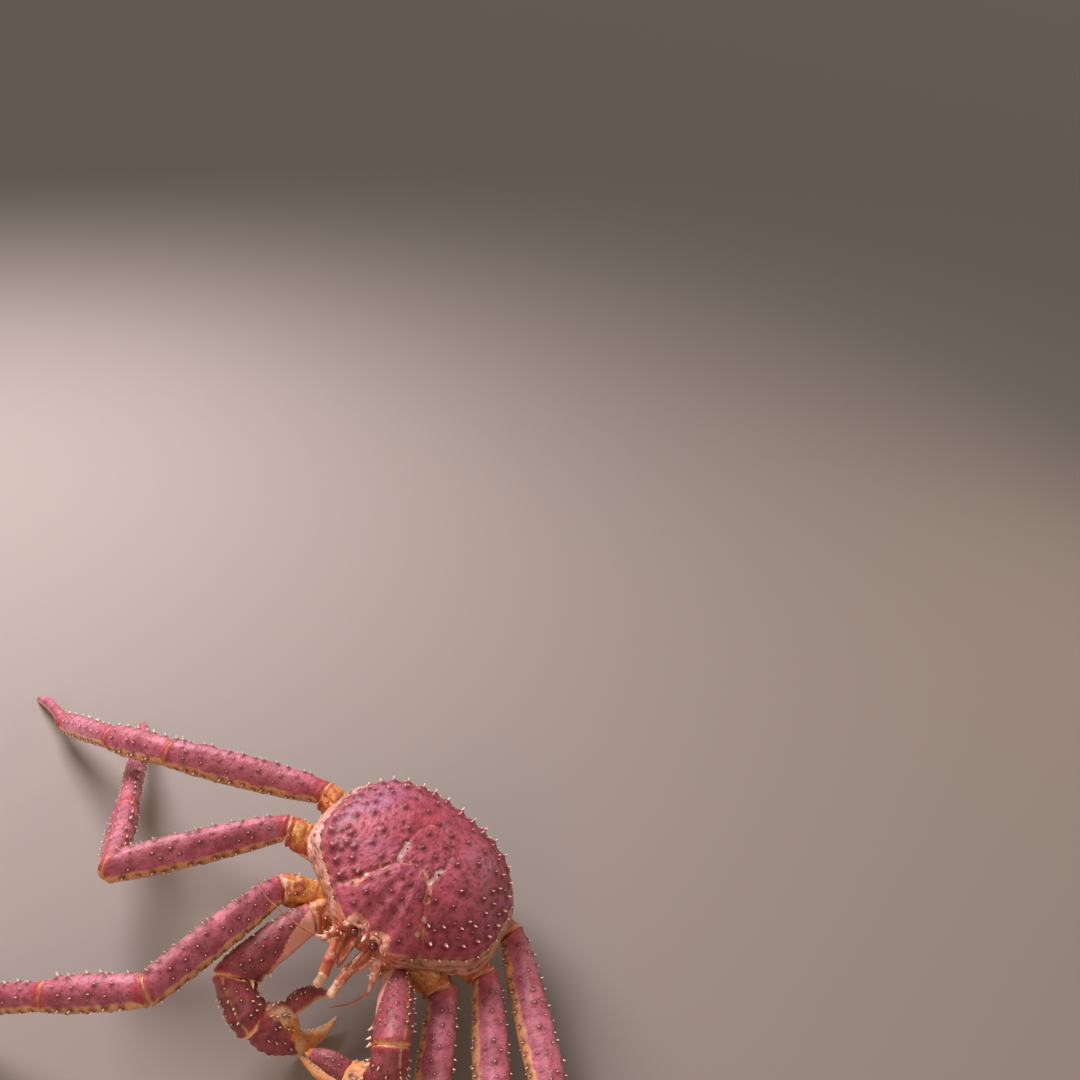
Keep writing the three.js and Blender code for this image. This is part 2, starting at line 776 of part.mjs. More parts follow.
// A limb-like chain of tapering lengths through the given points, each with its radius.
function chainSolid(points, side, sides = 6) {
  const at = points.map(([x, y, z]) => bodyPoint(side * x, y, z));
  const solids = [];
  for (let i = 0; i < at.length - 1; i++) {
    const frame = pieceFrame(at[i], at[i + 1], 1, 0);
    const [r0, r1] = [points[i][3], points[i + 1][3]];
    const stations = [
      { at: -r0 * 0.6, high: r0 * 0.7, wide: r0 * 0.7, lift: 0 },
      { at: 0, high: r0, wide: r0, lift: 0 },
      { at: frame.length, high: r1, wide: r1, lift: 0 },
    ];
    solids.push(pieceSolid(frame, stations, sides));
  }
  return joined(solids);
}

function eyeSolid(side) {
  const centre = bodyPoint(side * EYE.centre[0], EYE.centre[1], EYE.centre[2]);
  const stalk = chainSolid(
    [
      [...EYE.stalk, EYE.stalkRadius],
      [...EYE.centre, EYE.stalkRadius],
    ],
    side,
  );
  return stalk.add(ballSolid(centre, EYE.radius));
}

// [x, y, z, radius] along each feeler and mouth leg, with x away from the midline on its own side
const ANTENNULE = [
  [5, -72, 60, 2.2],
  [5.5, -86, 60, 2],
  [4.5, -93, 53, 1.7],
  [5, -100, 51, 1.3],
  [8, -107, 57, 0.6],
];
const ANTENNAE = {
  right: [
    [21, -70, 60, 5],
    [24, -88, 61, 4.2],
    [27, -98, 62, 2.6],
    [34, -102, 63, 1.2],
    [58, -106, 65, 1],
    [82, -106, 67, 0.8],
    [104, -98, 68, 0.5],
  ],
  left: [
    [21, -70, 60, 4.8],
    [21, -86, 61, 4.2],
    [25, -93, 52, 3.2],
    [28, -97, 41, 2],
    [28, -100, 32, 1.2],
    [20, -112, 24, 0.9],
    [8, -124, 22, 0.5],
  ],
};
const MAXILLIPEDS = {
  right: [
    [14, -62, 44, 6.5],
    [19, -84, 48, 5],
    [14, -100, 40, 4.8],
    [11, -109, 33, 4.2],
    [10, -114, 26, 3],
  ],
  left: [
    [12, -60, 44, 6.5],
    [8, -84, 42, 5.8],
    [4, -98, 39, 5],
    [4, -108, 36, 4.2],
    [5, -115, 30, 3],
  ],
};

// The tail flap, folded forward under the body: [y, z, half width, half thickness] along it
const ABDOMEN_PATH = [
  [66, 62, 30, 5],
  [80, 58, 34, 5.5],
  [86, 44, 38, 6],
  [76, 28, 38, 6],
  [52, 17, 33, 6],
  [22, 11, 26, 5.5],
  [-8, 10, 17, 4.5],
  [-26, 13, 7, 3],
];

function abdomenSolid() {
  const path = new THREE.CatmullRomCurve3(ABDOMEN_PATH.map(([y, z]) => vec(0, y, z)));
  const steps = 12;
  const rings = [];
  for (let i = 0; i <= steps; i++) {
    const share = i / steps;
    const point = path.getPoint(share);
    const along = path.getTangent(share);
    const across = vec(0, -along.z, along.y);
    const index = share * (ABDOMEN_PATH.length - 1);
    const k = Math.min(Math.floor(index), ABDOMEN_PATH.length - 2);
    const wide = THREE.MathUtils.lerp(ABDOMEN_PATH[k][2], ABDOMEN_PATH[k + 1][2], index - k);
    const thick = THREE.MathUtils.lerp(ABDOMEN_PATH[k][3], ABDOMEN_PATH[k + 1][3], index - k);
    const ring = [];
    const sides = 10;
    for (let j = 0; j < sides; j++) {
      const angle = (2 * Math.PI * (j + 0.5)) / sides;
      const p = point.clone().addScaledVector(across, thick * Math.sin(angle));
      p.x = wide * Math.cos(angle);
      ring.push(p.applyMatrix4(bodyToWorld));
    }
    rings.push(ring);
  }
  const first = path.getPoint(0).applyMatrix4(bodyToWorld);
  const last = path.getPoint(1).applyMatrix4(bodyToWorld);
  return loft(first, rings, last);
}

// Assembly

const random = seeded(41);
const grownBody = thoraxSolid(GAP).add(carapaceSolid(GAP));
const bodyUp = vec(0, 0, 1).transformDirection(bodyToWorld);
const shieldFloor = bodyPoint(0, 0, MARGIN_Z - RIM_THICKNESS).dot(bodyUp);
const shield = joined([
  carapaceSolid(),
  ...shieldSpines(random),
  ...rimSpines(random),
  ...rostrum(),
]).trimByPlane(bodyUp.toArray(), shieldFloor);

const crab = new THREE.Group();
crab.add(meshOf("carapace", shield, shellRed));
crab.add(meshOf("thorax", thoraxSolid(), flankPink));
crab.add(meshOf("abdomen", abdomenSolid().subtract(grownBody), flankPink));
for (const [sideName, side] of [["right", -1], ["left", 1]]) {
  crab.add(meshOf(`eye_${sideName}`, eyeSolid(side).subtract(grownBody), eyeDark));
  const feelers = {
    antennule: ANTENNULE,
    antenna: ANTENNAE[sideName],
    maxilliped: MAXILLIPEDS[sideName],
  };
  const clawBase = grownBase(CLAW_ARMS[`claw_${sideName}`], CLAW_ARM_SIZES.base);
  for (const [name, points] of Object.entries(feelers)) {
    const solid = chainSolid(points, side).subtract(grownBody).subtract(clawBase);
    crab.add(meshOf(`${name}_${sideName}`, solid, mouthOrange));
  }
}
for (const [name, arm] of Object.entries(CLAW_ARMS)) {
  const legBeside = arm.side < 0 ? LEGS.leg_1_right : LEGS.leg_1_left;
  const neighbours = grownBody.add(grownBase(legBeside, LEG_SIZES.base));
  crab.add(...clawArmMeshes(name, arm, neighbours, random));
}
for (const [name, leg] of Object.entries(LEGS)) {
  crab.add(...legMeshes(name, leg, grownBody, random));
}

// The origin is on the floor, under the middle of the whole model
const reach = new THREE.Box3().setFromObject(crab);
const middle = reach.getCenter(vec(0, 0, 0));
crab.position.set(-middle.x, -middle.y, 0);

export default crab;
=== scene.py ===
# A life-size display model of an adult male red king crab, standing with its legs spread.
import math

import bpy
import numpy as np
from mathutils import Matrix, Vector


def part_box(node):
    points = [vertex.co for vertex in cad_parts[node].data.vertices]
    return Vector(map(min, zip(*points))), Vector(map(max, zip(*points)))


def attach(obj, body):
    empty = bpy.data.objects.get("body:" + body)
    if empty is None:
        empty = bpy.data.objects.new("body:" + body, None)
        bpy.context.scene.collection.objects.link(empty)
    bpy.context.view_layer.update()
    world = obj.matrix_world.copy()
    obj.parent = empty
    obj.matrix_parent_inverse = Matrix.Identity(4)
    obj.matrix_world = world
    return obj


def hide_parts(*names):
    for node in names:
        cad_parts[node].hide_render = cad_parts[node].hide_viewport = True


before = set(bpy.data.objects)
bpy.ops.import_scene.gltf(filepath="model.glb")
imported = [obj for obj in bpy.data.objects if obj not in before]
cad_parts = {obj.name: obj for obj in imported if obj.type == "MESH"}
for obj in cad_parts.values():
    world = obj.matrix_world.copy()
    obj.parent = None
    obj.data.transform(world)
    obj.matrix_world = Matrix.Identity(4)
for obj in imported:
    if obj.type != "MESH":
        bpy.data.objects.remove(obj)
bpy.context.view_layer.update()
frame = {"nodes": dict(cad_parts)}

scene = bpy.context.scene

# Where the crab stands
# The crab is measured level, in millimetres, with its midline along Y and its face to -Y. It then
# leans with its right side up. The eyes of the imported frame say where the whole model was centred.
MM = 0.001
LEAN = math.radians(16)
LEAN_PIVOT_Z = 60
EYE_CENTRE = (10, -84, 73)
EYE_RADIUS = 3.9

eye_right_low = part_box("eye_right")[0] / MM
eye_left_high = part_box("eye_left")[1] / MM
eye_middle_x = (EYE_CENTRE[2] - LEAN_PIVOT_Z) * math.sin(LEAN)
shift = np.array([
    (eye_right_low.x + eye_left_high.x) / 2 - eye_middle_x,
    eye_right_low.y - (EYE_CENTRE[1] - EYE_RADIUS),
    0,
])

# Camera
# A wide lens is held to the crab's front left, well above it, and rolled a little. Its place is in
# millimetres from the level crab's own middle on the floor.
CAMERA_PLACE = (256.9, -525.9, 876.7)
CAMERA_HEADING = math.radians(20.4)
CAMERA_PITCH = math.radians(-33.48)
CAMERA_ROLL = math.radians(10.79)
LENS = 33.1
SENSOR = 36
NEAREST_SEEN = 0.01

forward = Vector((
    -math.sin(CAMERA_HEADING) * math.cos(CAMERA_PITCH),
    math.cos(CAMERA_HEADING) * math.cos(CAMERA_PITCH),
    math.sin(CAMERA_PITCH),
))
level_right = Vector((math.cos(CAMERA_HEADING), math.sin(CAMERA_HEADING), 0))
level_up = level_right.cross(forward)
right = level_right * math.cos(CAMERA_ROLL) + level_up * math.sin(CAMERA_ROLL)
camera_data = bpy.data.cameras.new("camera")
camera_data.lens = LENS
camera_data.sensor_width = SENSOR
camera_data.clip_start = NEAREST_SEEN
camera = bpy.data.objects.new("camera", camera_data)
scene.collection.objects.link(camera)
turned = Matrix((right, right.cross(forward), -forward)).transposed().to_4x4()
held_at = Vector(np.array(CAMERA_PLACE) + shift) * MM
camera.matrix_world = Matrix.Translation(held_at) @ turned
scene.camera = camera

# Floor
# A sheet of warm grey matt card lies flat under the model and runs out of sight on every side. Its
# paper tooth is finer than the render shows, so it is drawn coarser, about a millimetre wide.
FLOOR_METRES = 60
CARD_TOOTH = 1.1


def linear(hex_colour):
    """An sRGB colour such as d8d4cf as linear red, green, blue and alpha."""
    channels = [int(hex_colour[i : i + 2], 16) / 255 for i in (0, 2, 4)]
    return [c / 12.92 if c <= 0.04045 else ((c + 0.055) / 1.055) ** 2.4 for c in channels] + [1]


def add_node(tree, kind, inputs=None, **settings):
    """Adds a node. An input that is a socket is linked, and any other is set."""
    node = tree.nodes.new(kind)
    for name, value in settings.items():
        setattr(node, name, value)
    for key, value in (inputs or {}).items():
        if isinstance(value, bpy.types.NodeSocket):
            tree.links.new(value, node.inputs[key])
        else:
            node.inputs[key].default_value = value
    return node


def pattern_scale(size):
    """The scale at which a pattern's marks are about this many millimetres wide."""
    return 1 / (size * MM)


def new_material(name):
    """An empty material with its Principled shader, and Object coordinates for its patterns."""
    material = bpy.data.materials.new(name)
    material.use_nodes = True
    tree = material.node_tree
    shader = tree.nodes["Principled BSDF"]
    place = add_node(tree, "ShaderNodeTexCoord").outputs["Object"]
    return material, tree, shader, place


card, tree, shader, place = new_material("matt_card")
tooth = add_node(tree, "ShaderNodeTexNoise", {
    "Vector": place, "Scale": pattern_scale(CARD_TOOTH), "Detail": 2,
})
bump = add_node(tree, "ShaderNodeBump", {"Height": tooth.outputs[0], "Strength": 0.05})
tree.links.new(bump.outputs[0], shader.inputs["Normal"])
shader.inputs["Base Color"].default_value = linear("8d8782")
shader.inputs["Roughness"].default_value = 0.8
floor_mesh = bpy.data.meshes.new("floor")
corners = [(x * FLOOR_METRES, y * FLOOR_METRES, 0) for x, y in ((-1, -1), (1, -1), (1, 1), (-1, 1))]
floor_mesh.from_pydata(corners, [], [(0, 1, 2, 3)])
floor_mesh.materials.append(card)
floor = bpy.data.objects.new("floor", floor_mesh)
scene.collection.objects.link(floor)

# Lights
# Three soft boxes in a pale room. The strong one hangs to the crab's right and a little behind it,
# the widest and warmest fills in the face, and the smallest lights the left rear edge.


def soft_box(name, place, size, power, tint):
    """A square soft box at a place in metres, turned to the middle of the floor."""
    light = bpy.data.lights.new(name, "AREA")
    light.shape = "SQUARE"
    light.size = size
    light.energy = power
    light.color = linear(tint)[:3]
    holder = bpy.data.objects.new(name, light)
    holder.location = place
    holder.rotation_mode = "QUATERNION"
    holder.rotation_quaternion = Vector(place).to_track_quat("Z", "Y")
    scene.collection.objects.link(holder)


soft_box("key_box", (-1.25, 0.55, 1.25), 0.8, 42, "fff0f4")
soft_box("fill_box", (0.1, -1.5, 1.1), 1.3, 10, "ffd0a8")
soft_box("edge_box", (0.9, 1.5, 0.9), 0.6, 5, "ffe0c8")
room = bpy.data.worlds.new("room")
room.use_nodes = True
walls = room.node_tree.nodes["Background"]
walls.inputs["Color"].default_value = linear("f3e6dc")
walls.inputs["Strength"].default_value = 0.42
scene.world = room
scene.view_settings.view_transform = "Standard"

# Shield
# The carapace is one hard plate of chalky chitin, domed over the gut, the heart and the gills,
# with shallow grooves between them. It grows thorns that stand on small mounds, each with a
# darker red ring round its foot.
BODY_LIFT = 40
CARAPACE_LENGTH = 160
CARAPACE_WIDTH = 183
DOME_HEIGHT = 34
RIM_THICKNESS = 3
MARGIN_Z = 74
DOME_CENTRE_Y = 4
FRONT_Y = -0.506 * CARAPACE_LENGTH
REAR_Y = 0.475 * CARAPACE_LENGTH
HALF_OUTLINE = [
    (0.11, -0.475), (0.23, -0.513), (0.39, -0.469), (0.62, -0.363), (0.885, -0.25),
    (0.995, -0.113), (0.995, 0.05), (0.94, 0.213), (0.72, 0.381), (0.393, 0.456),
]
# x, y, height, half width and half length of the swellings over the organs, on both sides
SWELLINGS = [(0, -44, 7, 30, 26), (0, 20, 4, 16, 20), (48, 22, 6, 30, 36), (46, -30, 3, 18, 16)]
SHIELD_RINGS = 120
SHIELD_STEPS = 440
OUTLINE_STEPS = 1440
STEPS_BETWEEN_KNOTS = 40
# Primes that scatter the corners of a cell, and how many heights a corner may have
SCATTER = (73856093, 19349663, 83492791, 7919, 48271)
HEIGHT_COUNT = 65521


def leaned(directions):
    """Directions of the level body as they point once it leans."""
    level = np.asarray(directions, float)
    x = level[..., 0] * math.cos(LEAN) + level[..., 2] * math.sin(LEAN)
    z = level[..., 2] * math.cos(LEAN) - level[..., 0] * math.sin(LEAN)
    return np.stack([x, level[..., 1], z], axis=-1)


def standing(points):
    """Points of the level body, in millimetres, where they stand in the model."""
    level = np.asarray(points, float) - (0, 0, LEAN_PIVOT_Z)
    return leaned(level) + (0, 0, LEAN_PIVOT_Z + BODY_LIFT) + shift


def smooth_noise(points, size, seed):
    """A gentle random height between -1 and 1 at each point, in lumps about size wide."""
    cell = np.asarray(points) / size
    base = np.floor(cell).astype(np.int64)
    part = cell - base
    ease = part * part * (3 - 2 * part)
    total = np.zeros(cell.shape[:-1])
    for corner in np.ndindex(2, 2, 2):
        key = base + np.array(corner)
        mixed = key[..., 0] * SCATTER[0] ^ key[..., 1] * SCATTER[1] ^ key[..., 2] * SCATTER[2]
        mixed = (mixed + seed * SCATTER[3]) % HEIGHT_COUNT
        picked = mixed * mixed % HEIGHT_COUNT * SCATTER[4] % HEIGHT_COUNT
        value = picked / (HEIGHT_COUNT // 2) - 1
        total += value * np.prod(np.where(corner, ease, 1 - ease), axis=-1)
    return total


def unit(vectors):
    """Vectors brought to a length of 1."""
    return vectors / np.maximum(np.linalg.norm(vectors, axis=-1, keepdims=True), 1e-9)


def smooth_step(low, high, value):
    """An eased rise from 0 to 1 as a value goes from low to high."""
    share = np.clip((value - low) / (high - low), 0, 1)
    return share * share * (3 - 2 * share)


def closed_curve(knots, count):
    """Evenly spaced points on a closed curve through the knots, which bends without overshoot."""
    knots = np.asarray(knots, float)
    dense = []
    shares = np.linspace(0, 1, STEPS_BETWEEN_KNOTS, endpoint=False)[:, None]
    for i in range(len(knots)):
        before, start, end, after = (knots[(i + k) % len(knots)] for k in (-1, 0, 1, 2))
        d0 = math.sqrt(np.linalg.norm(start - before))
        d1 = math.sqrt(np.linalg.norm(end - start))
        d2 = math.sqrt(np.linalg.norm(after - end))
        leave = ((start - before) / d0 - (end - before) / (d0 + d1) + (end - start) / d1) * d1
        arrive = ((end - start) / d1 - (after - start) / (d1 + d2) + (after - end) / d2) * d1
        a = 2 * start - 2 * end + leave + arrive
        b = -3 * start + 3 * end - 2 * leave - arrive
        dense.append(((a * shares + b) * shares + leave) * shares + start)
    dense = np.concatenate(dense)
    dense = np.vstack([dense, dense[:1]])
    run = np.concatenate([[0], np.cumsum(np.linalg.norm(np.diff(dense, axis=0), axis=1))])
    at = np.linspace(0, run[-1], count, endpoint=False)
    return np.stack([np.interp(at, run, dense[:, k]) for k in (0, 1)], axis=-1)


half = [(wide * CARAPACE_WIDTH / 2, long * CARAPACE_LENGTH) for wide, long in HALF_OUTLINE]
outline_knots = [(0, FRONT_Y), *half, (0, REAR_Y), *[(-x, y) for x, y in reversed(half)]]
outline = closed_curve(outline_knots, OUTLINE_STEPS)
outline_turns = np.arctan2(outline[:, 1] - DOME_CENTRE_Y, outline[:, 0])
outline_order = np.argsort(outline_turns)
outline_reach = np.hypot(outline[:, 0], outline[:, 1] - DOME_CENTRE_Y)


def outline_share(x, y):
    """The share of the way from the dome's centre to the shield's outline."""
    turn = np.arctan2(y - DOME_CENTRE_Y, x)
    reach = np.interp(
        turn, outline_turns[outline_order], outline_reach[outline_order], period=2 * math.pi
    )
    return np.hypot(x, y - DOME_CENTRE_Y) / reach


def dome_height(x, y, share):
    """Height of the shield above its margin."""
    share = np.clip(share, 0, 1)
    rise = np.zeros_like(x)
    for cx, cy, top, wide, long in SWELLINGS:
        rise += top * np.exp(-(((np.abs(x) - cx) / wide) ** 2) - ((y - cy) / long) ** 2)
    return DOME_HEIGHT * (1 - share**2.3) ** 0.62 + rise * (1 - share**2)


def outline_rings(count, shares, heights):
    """Rings of points at shares of the way out to the outline, each at its own level height."""
    edge = closed_curve(outline_knots, count) - (0, DOME_CENTRE_Y)
    reach = np.linalg.norm(edge, axis=1, keepdims=True)
    rings = []
    for share, height in zip(shares, heights):
        flat = edge / reach * (reach * share) + (0, DOME_CENTRE_Y)
        rings.append(np.column_stack([flat, np.full(count, height)]))
    return np.array(rings)


def distance_to_path(points, path):
    """Distance in plan from each point to the nearest part of a path."""
    flat = points[..., :2]
    nearest = np.full(flat.shape[:-1], 1e9)
    for start, end in zip(path[:-1], path[1:]):
        start = np.array(start, float)
        step = np.array(end, float) - start
        share = np.clip(((flat - start) @ step) / (step @ step), 0, 1)
        nearest = np.minimum(nearest, np.linalg.norm(flat - start - share[..., None] * step, axis=-1))
    return nearest


def ring_normals(rings):
    """Outward directions on a stack of closed rings."""
    around = np.roll(rings, -1, axis=1) - np.roll(rings, 1, axis=1)
    along = np.gradient(rings, axis=0)
    out = unit(np.cross(around, along))
    centre = rings.mean(axis=1, keepdims=True)
    return out if np.sum(out * (rings - centre)) > 0 else -out


# So many of a skin's faces are weighed to tell whether they face outwards
FACES_WEIGHED = 4000


def ring_skin(rings, marks):
    """A closed skin over a stack of rings: its points, its faces and its marks, point by point."""
    count, steps = rings.shape[:2]
    ends = np.array([rings[0].mean(axis=0), rings[-1].mean(axis=0)])
    points = np.vstack([rings.reshape(-1, 3), ends])
    here = np.arange(steps)
    beyond = (here + 1) % steps
    faces = []
    for r in range(count - 1):
        a = r * steps
        faces += np.column_stack([a + here, a + beyond, a + steps + beyond, a + steps + here]).tolist()
    first, last = count * steps, count * steps + 1
    faces += np.column_stack([np.full(steps, first), beyond, here]).tolist()
    top = (count - 1) * steps
    faces += np.column_stack([np.full(steps, last), top + here, top + beyond]).tolist()
    turned_out = 0 < sum(
        np.dot(points[face[0]], np.cross(points[face[i]], points[face[i + 1]]))
        for face in faces[:: max(1, len(faces) // FACES_WEIGHED)]
        for i in range(1, len(face) - 1)
    )
    if not turned_out:
        faces = [face[::-1] for face in faces]
    flat = {}
    for name, values in marks.items():
        spread = np.broadcast_to(values, (count, steps))
        flat[name] = np.append(spread.reshape(-1), [spread[0].mean(), spread[-1].mean()])
    return points, faces, flat


def mounds(points, normals, thorns, width, rise):
    """Lifts the skin round each thorn's foot, and marks the dark ring that stains it."""
    lift = np.zeros(points.shape[:-1])
    halo = np.zeros(points.shape[:-1])
    for root, tall in zip(thorns["root"], thorns["tall"]):
        away = np.sum((points - root) ** 2, axis=-1)
        reach = width * (0.4 + 0.25 * tall)
        near = np.exp(-away / (reach * reach))
        lift = np.maximum(lift, near * rise * tall)
        halo = np.maximum(halo, np.exp(-((away / (2.4 * reach * reach)) ** 1.5)) * min(1, tall / 2.4))
    return points + normals * lift[..., None], halo


def thorn_set(roots, aims, talls, thick_share):
    """Thorns as arrays: where each is rooted, where it points, its height and its foot's radius."""
    talls = np.asarray(talls, float)
    return {
        "root": np.asarray(roots, float).reshape(-1, 3),
        "aim": unit(np.asarray(aims, float).reshape(-1, 3)),
        "tall": talls,
        "thick": thick_share * talls + 0.25,
    }


def joined_thorns(sets):
    """Several sets of thorns as one."""
    return {key: np.concatenate([one[key] for one in sets]) for key in sets[0]}


THORN_SIDES = 9
THORN_RINGS = 5
THORN_SINK = 0.7
BLUNT_TIP = 0.14
# How sharply a thorn spreads at its foot, how much of its width that spread is, and the rest
FOOT_FLARE = (3, 0.5, 0.72)


def thorn_tree():
    """Grows a thorn on every point marked as a root, and leaves the skin beside them as it is."""
    tree = bpy.data.node_groups.new("thorns_on_shell", "GeometryNodeTree")
    for name, kind in (
        ("Geometry", "Geometry"), ("Shell", "Material"), ("Thorn", "Material"),
        ("Sides", "Int"), ("Rings", "Int"), ("Blunt tip", "Float"),
    ):
        tree.interface.new_socket(name, in_out="INPUT", socket_type=f"NodeSocket{kind}")
    tree.interface.new_socket("Geometry", in_out="OUTPUT", socket_type="NodeSocketGeometry")
    given = add_node(tree, "NodeGroupInput").outputs
    read = {
        name: add_node(
            tree, "GeometryNodeInputNamedAttribute", {"Name": name}, data_type=kind,
        ).outputs["Attribute"]
        for name, kind in (
            ("root", "BOOLEAN"), ("aim", "FLOAT_VECTOR"), ("tall", "FLOAT"), ("thick", "FLOAT"),
        )
    }
    parted = add_node(
        tree, "GeometryNodeSeparateGeometry",
        {"Geometry": given["Geometry"], "Selection": read["root"]}, domain="POINT",
    )
    cone = add_node(tree, "GeometryNodeMeshCone", {
        "Vertices": given["Sides"], "Side Segments": given["Rings"],
        "Radius Top": given["Blunt tip"], "Radius Bottom": 1, "Depth": 1,
    })
    place = add_node(tree, "GeometryNodeInputPosition").outputs[0]
    parts = add_node(tree, "ShaderNodeSeparateXYZ", {0: place}).outputs
    below = add_node(tree, "ShaderNodeMath", {0: 1, 1: parts["Z"]}, operation="SUBTRACT")
    power, spread, rest = FOOT_FLARE
    flare = add_node(tree, "ShaderNodeMath", {0: below.outputs[0], 1: power}, operation="POWER")
    swell = add_node(
        tree, "ShaderNodeMath", {0: flare.outputs[0], 1: spread, 2: rest}, operation="MULTIPLY_ADD",
    )
    shape = add_node(tree, "ShaderNodeCombineXYZ", {0: swell.outputs[0], 1: swell.outputs[0], 2: 1})
    shaped = add_node(tree, "ShaderNodeVectorMath", {0: place, 1: shape.outputs[0]}, operation="MULTIPLY")
    marked = add_node(
        tree, "GeometryNodeStoreNamedAttribute",
        {"Geometry": cone.outputs["Mesh"], "Name": "tip", "Value": parts["Z"]},
        data_type="FLOAT", domain="POINT",
    )
    curved = add_node(tree, "GeometryNodeSetPosition", {
        "Geometry": marked.outputs[0], "Position": shaped.outputs[0],
    })
    size = add_node(tree, "ShaderNodeCombineXYZ", {0: read["thick"], 1: read["thick"], 2: read["tall"]})
    scaled = add_node(tree, "ShaderNodeVectorMath", {0: size.outputs[0], "Scale": MM}, operation="SCALE")
    aimed = add_node(tree, "FunctionNodeAlignRotationToVector", {"Vector": read["aim"]}, axis="Z")
    grown = add_node(tree, "GeometryNodeInstanceOnPoints", {
        "Points": parted.outputs["Selection"], "Instance": curved.outputs[0],
        "Rotation": aimed.outputs[0], "Scale": scaled.outputs[0],
    })
    whole = add_node(tree, "GeometryNodeRealizeInstances", {"Geometry": grown.outputs[0]})
    both = add_node(tree, "GeometryNodeJoinGeometry")
    for part, material in ((whole.outputs[0], "Thorn"), (parted.outputs["Inverted"], "Shell")):
        faced = add_node(
            tree, "GeometryNodeSetMaterial", {"Geometry": part, "Material": given[material]},
        )
        tree.links.new(faced.outputs[0], both.inputs[0])
    soft = add_node(tree, "GeometryNodeSetShadeSmooth", {"Geometry": both.outputs[0]})
    add_node(tree, "NodeGroupOutput", {"Geometry": soft.outputs[0]})
    return tree


thorns_on_shell = thorn_tree()


def make_piece(name, skins, thorns, shell, thorn, nodes=None):
    """One finished piece: its closed skins and the thorns that grow on them, as a plain mesh."""
    points, faces, marks = [], [], {}
    names = sorted({key for _, _, skin_marks in skins for key in skin_marks})
    start = 0
    for skin_points, skin_faces, skin_marks in skins:
        points.append(skin_points)
        faces += [[start + i for i in face] for face in skin_faces]
        for key in names:
            marks.setdefault(key, []).append(skin_marks.get(key, np.zeros(len(skin_points))))
        start += len(skin_points)
    roots = thorns["root"] - thorns["aim"] * THORN_SINK if thorns else np.zeros((0, 3))
    points = np.vstack([*points, roots]) * MM
    aims = np.zeros((len(points), 3))
    talls = np.zeros(len(points))
    thicks = np.zeros(len(points))
    if thorns:
        aims[start:] = thorns["aim"]
        talls[start:] = thorns["tall"] + THORN_SINK
        thicks[start:] = thorns["thick"]
    mesh = bpy.data.meshes.new(f"{name}_grown")
    mesh.from_pydata(points.tolist(), [], faces)
    for key in names:
        values = np.concatenate([*marks[key], np.zeros(len(roots))])
        mesh.attributes.new(key, "FLOAT", "POINT").data.foreach_set("value", values)
    for key, kind, field, values in (
        ("root", "BOOLEAN", "value", np.arange(len(points)) >= start),
        ("aim", "FLOAT_VECTOR", "vector", aims.ravel()),
        ("tall", "FLOAT", "value", talls),
        ("thick", "FLOAT", "value", thicks),
    ):
        mesh.attributes.new(key, kind, "POINT").data.foreach_set(field, values)
    grown = bpy.data.objects.new(f"{name}_skin", mesh)
    scene.collection.objects.link(grown)
    modifier = grown.modifiers.new("thorns", "NODES")
    modifier.node_group = thorns_on_shell
    sizes = {
        "Shell": shell, "Thorn": thorn, "Sides": THORN_SIDES, "Rings": THORN_RINGS, "Blunt tip": BLUNT_TIP,
    }
    for item in thorns_on_shell.interface.items_tree:
        if item.in_out == "INPUT" and item.name in sizes:
            modifier[item.identifier] = sizes[item.name]
    plain = bpy.data.meshes.new_from_object(
        grown.evaluated_get(bpy.context.evaluated_depsgraph_get())
    )
    grown.modifiers.remove(modifier)
    grown.data = plain
    bpy.data.meshes.remove(mesh)
    grown.name = plain.name = f"{name}_skin"
    for used in ("root", "aim", "thick"):
        if used in plain.attributes:
            plain.attributes.remove(plain.attributes[used])
    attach(grown, "root")
    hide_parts(*(nodes or [name]))
    return grown


def painted(tree, base, coats):
    """Lays colours over a base, one coat after another, each by a share times a strength."""
    for share, strength, colour in coats:
        part = add_node(tree, "ShaderNodeMath", {0: share, 1: strength}, operation="MULTIPLY")
        coat = add_node(tree, "ShaderNodeMix", {0: part.outputs[0], 6: base, 7: colour}, data_type="RGBA")
        base = coat.outputs[2]
    return base


# Chitin hardened with lime, grown wet and seen under varnish: cloudy purple red with small dark
# pits, cream along the grooves and edges, and a broad satin gloss. Where a piece is marked for it,
# a lilac sheen of reflected light is painted into the colour. Widths are in millimetres.
PATCH_WIDTH = 62.5
CLOUD_WIDTH = 16.7
FRECKLE_WIDTH = 2.08
PIT_SPACING = 4.35
PIT_DEPTH = 0.9
FRESH_RED = "a82b38"
PAINTED_SHEEN_TINT = "a674aa"


